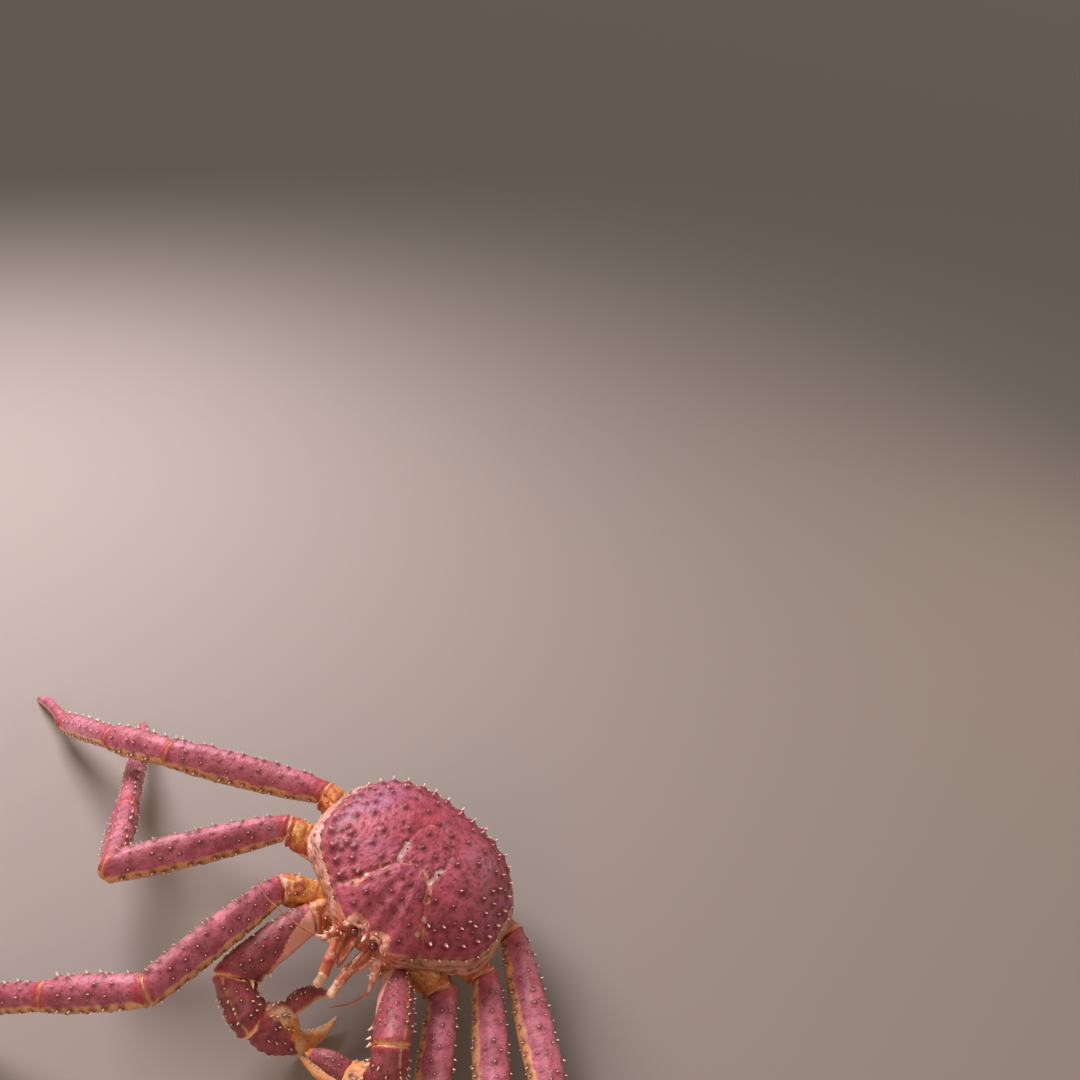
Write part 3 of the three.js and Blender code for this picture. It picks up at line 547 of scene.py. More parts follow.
def hard_shell(name, face, cloud, bloom, stain, edge, groove, rose):
    """The shell of a piece: its face and the patches over it, thorn feet, edges, grooves and painted sheen.
    """
    material, tree, shader, place = new_material(name)
    mark = {
        key: add_node(tree, "ShaderNodeAttribute", attribute_name=key).outputs["Fac"]
        for key in ("pale", "red", "halo", "groove", "rose", "lilac")
    }
    patches, clouds, freckles = (
        add_node(tree, "ShaderNodeTexNoise", {
            "Vector": place, "Scale": pattern_scale(width), "Detail": detail, "Roughness": roughness,
        }).outputs[0]
        for width, detail, roughness in (
            (PATCH_WIDTH, 3, 0.5), (CLOUD_WIDTH, 5, 0.65), (FRECKLE_WIDTH, 3, 0.65),
        )
    )
    pits = add_node(tree, "ShaderNodeTexVoronoi", {
        "Vector": place, "Scale": pattern_scale(PIT_SPACING),
    }).outputs["Distance"]
    ragged, tooth = (
        add_node(tree, "ShaderNodeMath", {0: pattern, 1: strength, 2: under}, operation="MULTIPLY_ADD")
        for pattern, strength, under in ((freckles, 0.45, mark["pale"]), (pits, 0.7, freckles))
    )
    share = {
        key: add_node(
            tree, "ShaderNodeMapRange", {"Value": pattern, "From Min": low, "From Max": high},
            interpolation_type="SMOOTHSTEP",
        ).outputs[0]
        for key, pattern, low, high in (
            ("cloud", clouds, 0.38, 0.64), ("bloom", patches, 0.5, 0.68),
            ("freckle", freckles, 0.5, 0.76), ("lilac", patches, 0.42, 0.6),
            ("edge", ragged.outputs[0], 0.45, 1), ("mottle", clouds, 0.4, 0.62),
            ("pit", pits, 0.3, 0.17),
        )
    }
    edge_tone = painted(tree, linear(edge), [(share["mottle"], 1, linear(groove))])
    base = painted(tree, linear(face), [
        (share["cloud"], 1, linear(cloud)),
        (share["bloom"], 0.6, linear(bloom)),
        (share["freckle"], 0.6, linear(stain)),
        (mark["red"], 0.75, linear(FRESH_RED)),
        # Painted sheen: lilac reflected light, laid on where the piece's sheen mark says
        (share["lilac"], mark["lilac"], linear(PAINTED_SHEEN_TINT)),
        (share["edge"], 1, edge_tone),
        (share["pit"], 0.42, linear(stain)),
        (mark["halo"], 0.9, linear(stain)),
        (mark["groove"], 1, linear(groove)),
        (mark["rose"], 1, linear(rose)),
    ])
    heights = add_node(
        tree, "ShaderNodeMath", {0: clouds, 1: 1.6, 2: tooth.outputs[0]}, operation="MULTIPLY_ADD",
    )
    bump = add_node(tree, "ShaderNodeBump", {
        "Height": heights.outputs[0], "Strength": 0.6, "Distance": PIT_DEPTH * MM,
    })
    gloss = add_node(tree, "ShaderNodeMapRange", {"Value": clouds, "To Min": 0.42, "To Max": 0.62})
    tree.links.new(base, shader.inputs["Base Color"])
    tree.links.new(bump.outputs[0], shader.inputs["Normal"])
    tree.links.new(gloss.outputs[0], shader.inputs["Roughness"])
    shader.inputs["Coat Weight"].default_value = 0.12
    shader.inputs["Coat Roughness"].default_value = 0.3
    return material


# Thorn horn: denser than the plate, dark at the foot and worn to cream white at the point, with a
# silky gloss. Low thorns stay as red as the plate, and tall ones have the whole white point.
HORN_GRAIN = 1.1
LOWEST_PALE = 0.1
POINT_BLEND = 0.3


def horn(name, foot, middle, point, worn, full):
    """The horn of thorns that are worn from this share of their height, and grow this tall."""
    material, tree, shader, place = new_material(name)
    tall, tip = (
        add_node(tree, "ShaderNodeAttribute", attribute_name=key).outputs["Fac"] for key in ("tall", "tip")
    )
    grown = add_node(
        tree, "ShaderNodeMapRange", {"Value": tall, "From Min": full * LOWEST_PALE, "From Max": full},
        interpolation_type="SMOOTHSTEP",
    )
    height = add_node(tree, "ShaderNodeMath", {0: tip, 1: grown.outputs[0]}, operation="MULTIPLY")
    base = linear(foot)
    for low, high, colour in ((0.1, worn, middle), (worn, min(1, worn + POINT_BLEND), point)):
        share = add_node(
            tree, "ShaderNodeMapRange", {"Value": height.outputs[0], "From Min": low, "From Max": high},
            interpolation_type="SMOOTHSTEP",
        )
        base = painted(tree, base, [(share.outputs[0], 1, linear(colour))])
    grain = add_node(tree, "ShaderNodeTexNoise", {
        "Vector": place, "Scale": pattern_scale(HORN_GRAIN), "Detail": 2,
    })
    bump = add_node(tree, "ShaderNodeBump", {
        "Height": grain.outputs[0], "Strength": 0.15, "Distance": 0.3 * MM,
    })
    tree.links.new(base, shader.inputs["Base Color"])
    tree.links.new(bump.outputs[0], shader.inputs["Normal"])
    shader.inputs["Roughness"].default_value = 0.35
    shader.inputs["Coat Weight"].default_value = 0.3
    shader.inputs["Coat Roughness"].default_value = 0.2
    return material


shield_shell = hard_shell(
    "shield_shell", "b6566a", "9a4152", "b8708c", "6a1828", "cf8a70", "dc9c7c", "e8c8c0",
)
shield_horn = horn("shield_thorn", "741a2a", "b9646a", "f4e2d4", 0.5, 5.5)

# Thorns that every male of this kind has, as pairs at x either side of the midline: x, y, height
MAIN_THORNS = [
    (5.5, -38, 2.4), (6, -50, 3), (6, -60, 2.6), (18, -42, 2.6), (23, -60, 3.2), (24, -72, 3.4),
    (43, -50, 3.4), (42, -67, 4), (31, -33, 3), (44, -26, 3.6), (54, -35, 3.4), (57, -55, 4),
    (64, -40, 3.2), (65, -25, 4.2), (72, -27, 3), (79, -40, 4), (43, -11, 4), (62, 0, 4.2),
    (27, 5, 3.4), (66, 13, 3.6), (42, 20, 3.6), (22, 31, 3.4), (60, 30, 3.6), (40, 38, 3.4),
    (20, 50, 3.4), (54, 50, 3.6), (36, 60, 3.4), (76, 26, 3.6), (7.5, -3, 3.2), (9, 12, 3.2),
    (7, 26, 3), (82, 6, 3.6), (80, -12, 3.4), (8, 62, 3),
]
PAIR_DRIFT = 1.2
# Small thorns between them: how far apart, how far off a square grid, and clear of pairs and groove
SMALL_THORN_SPACING = 7.5
SMALL_THORN_DRIFT = 3.2
CLEAR_OF_PAIRS = 5
CLEAR_OF_GROOVE = 2.5
# Rows of larger thorns near the margin: share of the way out, count, least and greatest height
MARGIN_ROWS = [(0.79, 30, 3.4, 4.8), (0.92, 36, 5, 6.6)]
MARGIN_ROW_DRIFT = 1.5
MARGIN_ROW_FRONT_Y = -58
RIM_THORN_COUNT = 46
RIM_THORN_FRONT_Y = -70
THORN_SPLAY = 0.007
# Grooves of the right half: across behind the gut, forward to the margin, and round the heart
NECK_GROOVE = [(0, -19), (8, -21), (18, -28), (22, -37), (29, -45), (34, -52), (40, -59), (50, -65)]
HEART_GROOVE = [(20, -5), (19, 9), (12.5, 21), (5, 26), (0, 27)]
BACK_GROOVE = [(0, 27), (1.5, 36), (0.5, 50), (1, 62)]
SLIT_MARK = [(17, -24.5), (18.8, -17), (17.8, -13), (19.6, -8)]
FOLD_MARKS = [[(7, -21.5), (12.5, -24.5)], [(21.5, -32), (24.5, -38.5)]]
# A white spot with a pale fan before it, the notch of the eye, and a painted lilac sheen of reflected light
# on the right side
BRIGHT_SPOT = (32, -50)
BRIGHT_FAN = [(33, -54), (34, -60)]
ORBIT = (11, -84)
PAINTED_SHEEN_CENTRE = (-50, 4)
PAINTED_SHEEN_SIZE = (34, 36)
# The lid over each eye, a thick cream fold of the front margin: x, y, z, radius
ORBIT_LID = [
    (3.5, -82, 76, 1), (6, -80.4, 78.2, 1.4), (10.5, -79.6, 78.7, 1.6), (15, -81, 77.7, 1.7),
    (18.5, -83.5, 75, 1.5), (20.5, -84.5, 72.5, 1),
]


def mirrored_distance(points, path):
    """Distance in plan from each point to a path of the right half, or to its mirror image."""
    folded = points.copy()
    folded[..., 0] = np.abs(folded[..., 0])
    return distance_to_path(folded, path)


def shield_points(x, y):
    """Points on top of the shield, and how far out towards its margin they lie."""
    share = outline_share(x, y)
    return np.column_stack([x, y, MARGIN_Z + dome_height(x, y, share)]), share


def shield_thorns():
    """The named pairs, a scatter of small ones between them, and the row round the rim."""
    rng = np.random.default_rng(41)
    pairs = np.array([(side * x, y, tall) for x, y, tall in MAIN_THORNS for side in (-1, 1)])
    pairs[:, :2] += rng.uniform(-PAIR_DRIFT, PAIR_DRIFT, (len(pairs), 2))
    pairs[:, 2] *= rng.uniform(0.85, 1.1, len(pairs))
    small = []
    for x in np.arange(-CARAPACE_WIDTH / 2, CARAPACE_WIDTH / 2, SMALL_THORN_SPACING):
        for y in np.arange(FRONT_Y, REAR_Y, SMALL_THORN_SPACING):
            spot = np.array([x, y]) + rng.uniform(-SMALL_THORN_DRIFT, SMALL_THORN_DRIFT, 2)
            apart = np.min(np.linalg.norm(pairs[:, :2] - spot, axis=1))
            if apart > CLEAR_OF_PAIRS:
                small.append((*spot, rng.uniform(0.5, 1.5) ** 1.2))
    rows = np.vstack([pairs, small])
    points, share = shield_points(rows[:, 0], rows[:, 1])
    grooved = mirrored_distance(points, NECK_GROOVE) < CLEAR_OF_GROOVE
    kept = (share < 0.93) & ~(grooved & (rows[:, 2] < 2))
    points, heights = points[kept], rows[kept, 2]
    splay = (points - (0, DOME_CENTRE_Y, 0)) * (THORN_SPLAY, THORN_SPLAY, 0) + (0, 0, 1)
    on_dome = thorn_set(points, splay, heights, 0.5)
    sets = [on_dome]
    for share_out, count, low, high in MARGIN_ROWS:
        row = outline_rings(count, [share_out], [0])[0]
        row[:, :2] += rng.uniform(-MARGIN_ROW_DRIFT, MARGIN_ROW_DRIFT, (count, 2))
        row = row[row[:, 1] > MARGIN_ROW_FRONT_Y]
        spots, _ = shield_points(row[:, 0], row[:, 1])
        out = unit((spots - (0, DOME_CENTRE_Y, 0)) * (1, 1, 0)) * share_out + (0, 0, 0.8)
        sets.append(thorn_set(spots, out, rng.uniform(low, high, len(spots)), 0.5))
    edge = outline_rings(RIM_THORN_COUNT, [0.985], [MARGIN_Z - 0.5])[0]
    edge = edge[edge[:, 1] > RIM_THORN_FRONT_Y]
    out = unit((edge - (0, DOME_CENTRE_Y, MARGIN_Z)) * (1, 1, 0)) + (0, 0, 0.35)
    sets.append(thorn_set(edge, out, rng.uniform(4.4, 6.6, len(edge)), 0.46))
    return joined_thorns(sets)


def beak_thorns():
    """The beak between the eyes, a pair on its back, and one outside each eye."""
    rows = [((0, FRONT_Y + 4, MARGIN_Z), (0, -1, 0.5), 15.5)]
    for side in (-1, 1):
        rows.append(((side * 5, FRONT_Y + 7, MARGIN_Z + 5), (side * 0.25, -1, 0.75), 7.5))
        rows.append(((side * 3.5, FRONT_Y + 12, MARGIN_Z + 9), (side * 0.2, -0.8, 1), 4.5))
        rows.append(((side * 20, FRONT_Y + 3, MARGIN_Z), (side * 0.3, -1, 0.15), 7.5))
        rows.append(((side * 27, FRONT_Y + 5, MARGIN_Z + 1), (side * 0.3, -1, 0.4), 4.5))
        rows.append(((side * 14, FRONT_Y + 8, MARGIN_Z + 5), (side * 0.1, -1, 0.9), 3.5))
    roots, aims, talls = zip(*rows)
    return thorn_set(roots, aims, talls, 0.32)


def stood_thorns(thorns):
    """Thorns of the level body, stood with it."""
    return {**thorns, "root": standing(thorns["root"]), "aim": leaned(thorns["aim"])}


def shield_paint(rings, share, near, halo):
    """The marks of the plate, from how near each point lies to its grooves, slits and spots, with a painted
    sheen on its right side.
    """
    wavy = smooth_noise(rings, 5, 8) + 0.5 * smooth_noise(rings, 2, 9)
    broken = smooth_step(-0.3, 0.5, smooth_noise(rings, 7, 6))
    groove = 0.5 * broken * smooth_step(1.6, 0.2, near["neck"] + 0.8 * wavy)
    groove = np.maximum(groove, 0.4 * broken * smooth_step(1.3, 0.2, near["heart"] + 0.6 * wavy))
    groove = np.maximum(groove, 0.2 * broken * smooth_step(1.3, 0.2, near["back"] + wavy))
    loops = smooth_step(1.1, 0.2, np.abs(near["fold"] - 2.1 + 0.7 * wavy))
    groove = np.maximum(groove, 0.75 * loops * smooth_step(-0.8, 0, smooth_noise(rings, 4, 10)))
    stained = smooth_step(4.2, 2.6, near["slit"]) * 0.6
    stained = stained + smooth_step(3.2, 0.5, near["neck"]) * 0.5 * broken
    stained = np.maximum(stained, 0.7 * smooth_step(1.4, 0.4, near["fold"]))
    halo = np.maximum(halo, np.clip(stained, 0, 1) * (1 - groove))
    bright = near["spot"] + 1.6 * wavy
    white = smooth_step(2.3, 1.5, near["slit"] + 0.55 * smooth_noise(rings, 3.2, 20))
    white = white * (0.75 + 0.25 * smooth_noise(rings, 1.6, 19))
    white = np.maximum(white, 0.8 * smooth_step(4, 1.5, bright))
    socket = smooth_step(11, 8.5, near["orbit"] + wavy)
    white = np.maximum(white, 0.5 * (socket * smooth_step(-0.4, 0.4, smooth_noise(rings, 4, 25))))
    pale = 0.8 * smooth_step(3.4, 1.4, near["fan"] + wavy)
    pale = np.maximum(pale, smooth_step(12.5, 9.5, near["orbit"] + 0.8 * wavy))
    front = smooth_step(20, -40, rings[..., 1])
    pale = np.maximum(pale, 0.7 * smooth_step(0.975, 1, share) * front)
    # Painted sheen: a lilac patch of reflected light on the right side of the plate
    across, along = ((rings[..., k] - PAINTED_SHEEN_CENTRE[k]) / PAINTED_SHEEN_SIZE[k] for k in (0, 1))
    lilac = 0.45 * np.exp(-(across**2) - along**2)
    red = 0.8 * smooth_step(10, 5, bright) + 0.5 * smooth_step(0.2, 0.7, smooth_noise(rings, 22, 17))
    return {
        "halo": halo, "groove": groove, "pale": pale, "red": np.clip(red, 0, 1), "rose": white,
        "lilac": lilac,
    }


def shield_skin(thorns):
    """The plate: finely ringed from its crown to its margin, then turned under."""
    shares = np.sin(np.linspace(0, math.pi / 2, SHIELD_RINGS + 1)[1:])
    rings = outline_rings(SHIELD_STEPS, shares, np.zeros(len(shares)))
    share = np.broadcast_to(shares[:, None], rings.shape[:2])
    rings[..., 2] = MARGIN_Z + dome_height(rings[..., 0], rings[..., 1], share)
    out = ring_normals(rings)
    near = {
        name: np.min([mirrored_distance(rings, path) for path in paths], axis=0)
        for name, paths in (
            ("neck", [NECK_GROOVE]), ("heart", [HEART_GROOVE]), ("back", [BACK_GROOVE]),
            ("slit", [SLIT_MARK]), ("fold", FOLD_MARKS), ("fan", [BRIGHT_FAN]),
        )
    }
    half_plan = np.stack([np.abs(rings[..., 0]), rings[..., 1]], axis=-1)
    near["orbit"] = np.linalg.norm(half_plan - ORBIT, axis=-1)
    near["spot"] = np.linalg.norm((half_plan - BRIGHT_SPOT) * (1, 1.4), axis=-1)
    depth = 2.2 * np.exp(-((near["neck"] / 2.6) ** 2)) + np.exp(-((near["heart"] / 1.8) ** 2))
    depth += 0.7 * np.exp(-((near["back"] / 2) ** 2)) + 1.4 * np.exp(-((near["slit"] / 3) ** 4))
    wrinkle = np.abs(smooth_noise(rings * (1, 0.45, 1), 3.2, 7))
    lumps = 0.6 * smooth_noise(rings, 15, 3) + 0.3 * smooth_noise(rings, 6, 4)
    lumps += 0.14 * smooth_noise(rings, 2.2, 5) - 0.3 * smooth_step(0.25, 0, wrinkle)
    rim = smooth_step(0.94, 1, share)
    brow = 2 * np.exp(-(((near["orbit"] - 8) / 2.2) ** 2)) * (1 + 0.5 * smooth_noise(rings, 3, 24))
    brow = brow * (share < 0.999)
    rings = rings + out * ((lumps - depth) * (1 - rim) + brow)[..., None]
    rings, halo = mounds(rings, out, thorns, 2.4, 0.42)
    below = MARGIN_Z - RIM_THICKNESS * np.array([0.6, 1, 1])
    under = outline_rings(SHIELD_STEPS, [0.995, 0.975, 0.5], below)
    marks = {
        key: np.concatenate([values, np.full(under.shape[:2], float(key == "pale"))])
        for key, values in shield_paint(rings, share, near, halo).items()
    }
    return ring_skin(standing(np.concatenate([rings, under])), marks)


def smooth_through(at, knots, values):
    """Values between knots on a curve that never overshoots them."""
    knots = np.asarray(knots, float)
    values = np.asarray(values, float)
    steps = np.diff(values) / np.diff(knots)
    slopes = np.concatenate([[steps[0]], (steps[:-1] + steps[1:]) / 2, [steps[-1]]])
    turning = np.concatenate([[False], steps[:-1] * steps[1:] <= 0, [False]])
    slopes[turning] = 0
    i = np.clip(np.searchsorted(knots, at) - 1, 0, len(knots) - 2)
    width = knots[i + 1] - knots[i]
    t = np.clip((at - knots[i]) / width, 0, 1)
    rise = (1 + 2 * t) * (1 - t) ** 2 * values[i] + t * t * (3 - 2 * t) * values[i + 1]
    return rise + width * (t * (1 - t) ** 2 * slopes[i] - t * t * (1 - t) * slopes[i + 1])


def rope_skin(points, radii, seed, sides=18, marks=None, rough=1.0):
    """A smooth tapering tube with round ends along a curve through the points."""
    points = np.asarray(points, float)
    run = np.concatenate([[0], np.cumsum(np.linalg.norm(np.diff(points, axis=0), axis=1))])
    at = np.linspace(0, run[-1], max(10, int(run[-1] / 0.8)))
    path = np.column_stack([smooth_through(at, run, points[:, k]) for k in range(3)])
    width = smooth_through(at, run, radii)
    along = unit(np.gradient(path, axis=0))
    first = unit(np.cross(along[0], (0.3, 0.2, 1)))
    sideways = [first]
    for step in along[1:]:
        sideways.append(unit(sideways[-1] - step * (sideways[-1] @ step)))
    sideways = np.array(sideways)
    upward = np.cross(along, sideways)
    turns = np.radians(np.linspace(80, 15, 5))
    before = path[0] - np.outer(np.sin(turns), along[0]) * width[0]
    after = path[-1] + np.outer(np.sin(turns[::-1]), along[-1]) * width[-1]
    path = np.vstack([before, path, after])
    sideways = np.vstack([np.tile(sideways[0], (5, 1)), sideways, np.tile(sideways[-1], (5, 1))])
    upward = np.vstack([np.tile(upward[0], (5, 1)), upward, np.tile(upward[-1], (5, 1))])
    width = np.concatenate([width[0] * np.cos(turns), width, width[-1] * np.cos(turns[::-1])])
    around = np.linspace(0, 2 * math.pi, sides, endpoint=False)
    out = np.cos(around)[None, :, None] * sideways[:, None] + np.sin(around)[None, :, None] * upward[:, None]
    rings = path[:, None] + out * width[:, None, None]
    rings = rings + out * (0.3 * rough * smooth_noise(rings, 3, seed))[..., None]
    patchy = smooth_step(-0.8, 0.2, smooth_noise(rings, 4, seed + 1))
    given = {key: value * patchy for key, value in (marks or {}).items()}
    return ring_skin(rings, given)


def lid_skin(side):
    """The fold over one eye."""
    places = standing([(side * x, y, z) for x, y, z, _ in ORBIT_LID])
    radii = [radius for *_, radius in ORBIT_LID]
    return rope_skin(places, radii, 23, marks={"pale": 1, "rose": 0.35}, rough=3)


dome_thorns = shield_thorns()
make_piece(
    "carapace", [shield_skin(dome_thorns), lid_skin(-1), lid_skin(1)],
    stood_thorns(joined_thorns([dome_thorns, beak_thorns()])),
    shield_shell, shield_horn,
)

# Flanks
# Below the shield's margin the wall of the body is thin, bendy shell. It lies in pleats along
# the margin, pale pink to olive tan, with long dark specks where the plates let go. The left side
# is given less pale cream, partly for its olive tan and partly as painted shade.
THORAX_DEPTH = 50
GAP = 0.3
FLANK_PROFILE = [(0, 0.985), (0.08, 1.04), (0.24, 1.1), (0.46, 1.01), (0.7, 0.79), (0.9, 0.56), (1, 0.4)]
FLANK_RINGS = 90
FLANK_STEPS = 360
FLECK_COUNT = 340
TAN_PATCH_WIDTH = 41.7
GRIME_WIDTH = 2


# Thin shell left soft for moulting: dull pink tan under a satin skin, with red-brown flecks
# drawn out along the pleats.
def pleated_shell():
    """The shell of the flanks, from its patches and the marks of its skin."""
    material, tree, shader, place = new_material("pleated_flank")
    mark = {
        key: add_node(tree, "ShaderNodeAttribute", attribute_name=key).outputs["Fac"]
        for key in ("pale", "red", "groove", "halo")
    }
    patches, fine = (
        add_node(tree, "ShaderNodeTexNoise", {
            "Vector": place, "Scale": pattern_scale(width), "Detail": detail,
        }).outputs[0]
        for width, detail in ((TAN_PATCH_WIDTH, 4), (GRIME_WIDTH, 3))
    )
    tan, grime = (
        add_node(
            tree, "ShaderNodeMapRange", {"Value": pattern, "From Min": low, "From Max": high},
            interpolation_type="SMOOTHSTEP",
        ).outputs[0]
        for pattern, low, high in ((patches, 0.4, 0.62), (fine, 0.5, 0.75))
    )
    base = painted(tree, linear("bf8270"), [
        (tan, 1, linear("a07a50")),
        (mark["pale"], 1, linear("d6a594")),
        (mark["red"], 1, linear("c2654a")),
        (grime, 0.5, linear("8a5238")),
        (mark["groove"], 1, linear("8c5346")),
        (mark["halo"], 1, linear("5e1f1c")),
    ])
    tree.links.new(base, shader.inputs["Base Color"])
    bump = add_node(tree, "ShaderNodeBump", {"Height": fine, "Strength": 0.3, "Distance": 0.5 * MM})
    tree.links.new(bump.outputs[0], shader.inputs["Normal"])
    shader.inputs["Roughness"].default_value = 0.5
    shader.inputs["Coat Weight"].default_value = 0.2
    shader.inputs["Coat Roughness"].default_value = 0.3
    return material


def flank_skin():
    """The wall below the shield, widest a little under its margin, creased along its length."""
    down = np.linspace(0, 1, FLANK_RINGS)
    knots, widths = zip(*FLANK_PROFILE)
    shares = smooth_through(down, knots, widths)
    top = MARGIN_Z - RIM_THICKNESS - GAP
    depth = THORAX_DEPTH - RIM_THICKNESS
    rings = outline_rings(FLANK_STEPS, shares, top - depth * down)
    flat = rings[..., :2] - (0, DOME_CENTRE_Y)
    frontal = smooth_step(-40, -72, rings[..., 1])
    wide = shares[:, None]
    held = 1 - 0.6 * frontal * (wide - 1) * (wide > 1) / wide
    rings[..., :2] = flat * held[..., None] + (0, DOME_CENTRE_Y)
    out = ring_normals(rings)
    warp = 4 * smooth_noise(rings, 26, 11) + 1.6 * smooth_noise(rings, 9, 14)
    drawn = rings * (0.16, 0.16, 1) + warp[..., None] * (0, 0, 1)
    folds = np.abs(smooth_noise(drawn, 3.2, 15))
    fine_folds = np.abs(smooth_noise(drawn * (2, 2, 1), 1.5, 16))
    strength = smooth_step(0.01, 0.08, down)[:, None] * smooth_step(0.85, 0.5, down)[:, None]
    crease = smooth_step(0.3, 0, folds) * strength
    fine_crease = smooth_step(0.22, 0, fine_folds) * strength
    lift = 0.7 * smooth_noise(rings, 12, 12) + 0.3 * smooth_noise(rings, 3.5, 13)
    lift = lift - 1.3 * crease - 0.5 * fine_crease
    rings = rings + out * lift[..., None] * smooth_step(0, 0.05, down)[:, None, None]
    groove = np.maximum(0.75 * crease, 0.4 * fine_crease)
    face = smooth_step(-58, -68, rings[..., 1]) * smooth_step(40, 26, np.abs(rings[..., 0]))
    pale = np.broadcast_to(smooth_step(0.5, 0.1, down)[:, None], rings.shape[:2])
    pale = pale * smooth_step(-0.6, 0.5, smooth_noise(rings, 8, 18)) * (1 - 0.8 * face)
    # Painted shade together with the flank's olive tan: less pale cream towards the left side
    pale = pale * (1 - 0.75 * smooth_step(5, 50, rings[..., 0]))
    marks = {"groove": groove, "pale": pale, "halo": flank_flecks(), "red": 0.8 * face}
    return ring_skin(standing(rings), marks)


def flank_flecks():
    """Dark specks along the pleats, each a few rings deep and drawn out along the margin."""
    rng = np.random.default_rng(19)
    ring, step = np.meshgrid(np.arange(FLANK_RINGS), np.arange(FLANK_STEPS), indexing="ij")
    shade = np.zeros(ring.shape)
    for _ in range(FLECK_COUNT):
        at_ring = FLANK_RINGS * rng.uniform(0.03, 0.8) ** 1.2
        at_step = rng.uniform(0, FLANK_STEPS)
        deep, long = rng.uniform(0.8, 1.7), rng.uniform(0.9, 2.6)
        apart = (step - at_step + FLANK_STEPS / 2) % FLANK_STEPS - FLANK_STEPS / 2
        slant = (ring - at_ring + 0.25 * apart) / deep
        shade = np.maximum(shade, np.exp(-((slant**2 + (apart / long) ** 2) ** 2)))
    return 0.85 * shade


flank_shell = pleated_shell()
make_piece("thorax", [flank_skin()], None, flank_shell, flank_shell)

# Tail flap
# The abdomen is folded forward under the body: a row of overlapping limy plates on a soft pad,
# with a sunk line down each side where the side plates join. Its path runs from the body's rear
# edge round under the belly, as y, z, half width and half thickness.
ABDOMEN_PATH = [
    (66, 62, 30, 5), (80, 58, 34, 5.5), (86, 44, 38, 6), (76, 28, 38, 6),
    (52, 17, 33, 6), (22, 11, 26, 5.5), (-8, 10, 17, 4.5), (-26, 13, 7, 3),
]
PLATE_COUNT = 6
ABDOMEN_RINGS = 150
ABDOMEN_SIDES = 96
WART_COUNT = 150


def abdomen_form():
    """The flap's skin and warts, purple red where it leaves the body and pale where it turns under."""
    knots = np.array(ABDOMEN_PATH, float)
    run = np.concatenate([[0], np.cumsum(np.linalg.norm(np.diff(knots[:, :2], axis=0), axis=1))])
    at = np.linspace(0, run[-1], ABDOMEN_RINGS)
    y, z, wide, thick = (smooth_through(at, run, knots[:, k]) for k in range(4))
    middle = np.column_stack([np.zeros_like(y), y, z])
    along = unit(np.gradient(middle, axis=0))
    across = np.column_stack([np.zeros_like(y), -along[:, 2], along[:, 1]])
    turn = np.linspace(0, 2 * math.pi, ABDOMEN_SIDES, endpoint=False)
    cos, sin = np.cos(turn), np.sin(turn)
    share = at / run[-1]
    plate = share * PLATE_COUNT
    rounding = 0.9 + 0.1 * np.sin(math.pi * (plate % 1)) ** 0.5
    sunk = smooth_step(0.93, 1, plate % 1) + smooth_step(0.05, 0, plate % 1)
    line = np.exp(-(((np.abs(cos) - 0.52) / 0.045) ** 2))
    swell = 1.1 * np.sin(math.pi * (plate % 1)) ** 0.6
    lift = swell[:, None] - 1.1 * line[None, :] - 0.6 * sunk[:, None]
    high = thick[:, None] * np.sign(sin) * np.abs(sin) ** 0.9
    high = high + np.sign(sin) * lift * np.abs(sin) ** 0.5 * smooth_step(0, 0.04, share)[:, None]
    rings = np.stack([(wide * rounding)[:, None] * cos, np.zeros_like(high), np.zeros_like(high)], axis=-1)
    rings = rings + middle[:, None] + across[:, None] * high[..., None]
    out = ring_normals(rings)
    rings = rings + out * (0.7 * smooth_noise(rings, 7, 21) + 0.3 * smooth_noise(rings, 2.5, 22))[..., None]
    rng = np.random.default_rng(23)
    ring = rng.integers(6, int(ABDOMEN_RINGS * 0.75), WART_COUNT)
    side = rng.integers(int(ABDOMEN_SIDES * 0.06), int(ABDOMEN_SIDES * 0.44), WART_COUNT)
    open_plate = sunk[ring] < 0.1
    ring, side = ring[open_plate], side[open_plate]
    talls = rng.uniform(0.9, 2.6, len(ring)) * (1.2 - share[ring])
    warts = thorn_set(standing(rings[ring, side]), leaned(out[ring, side]), talls, 0.6)
    rings = standing(rings)
    rings, halo = mounds(rings, leaned(out), warts, 2, 0.5)
    outer = smooth_step(-0.1, 0.3, sin)[None, :]
    groove = np.clip(sunk[:, None] * 0.8 + line[None, :] * 0.6, 0, 1)
    turned_under = smooth_step(0.26, 0.44, share[:, None] + 0.05 * smooth_noise(rings, 9, 27))
    pale = np.maximum(turned_under, 1 - outer)
    red = 0.7 * (1 - pale) * smooth_step(-0.2, 0.6, smooth_noise(rings, 7, 26))
    marks = {"groove": groove, "pale": pale, "red": red, "halo": 0.7 * halo * outer}
    return ring_skin(rings, marks), warts


flap_skin, flap_warts = abdomen_form()
make_piece("abdomen", [flap_skin], flap_warts, shield_shell, shield_horn)

# Walking legs
# Each leg is a chain of hollow shell tubes, flattened, with a crest along the upper edge and
# thorns in rows. Tubes meet at hinges, where a ring of soft tan skin shows between the lips.
LEG_PIECES = ["base", "merus", "carpus", "propodus", "dactyl"]
# Lengths as shares of the shield's, and half height and half width at a piece's start, middle and end
LEG_LENGTHS = {"carpus": 0.53, "propodus": 0.8, "dactyl": 0.5}
LEG_SIZES = {
    "base": ((15, 14), (13.5, 13), (10.5, 9.5)),
    "merus": ((10.5, 9.5), (16, 11.5), (13, 10.5)),
    "carpus": ((12, 10), (14.5, 11.5), (11.5, 9.5)),
    "propodus": ((11, 9), (12, 9.5), (8, 7)),
    "dactyl": ((7.5, 6.5), (5.5, 5), (1.6, 1.6)),
}
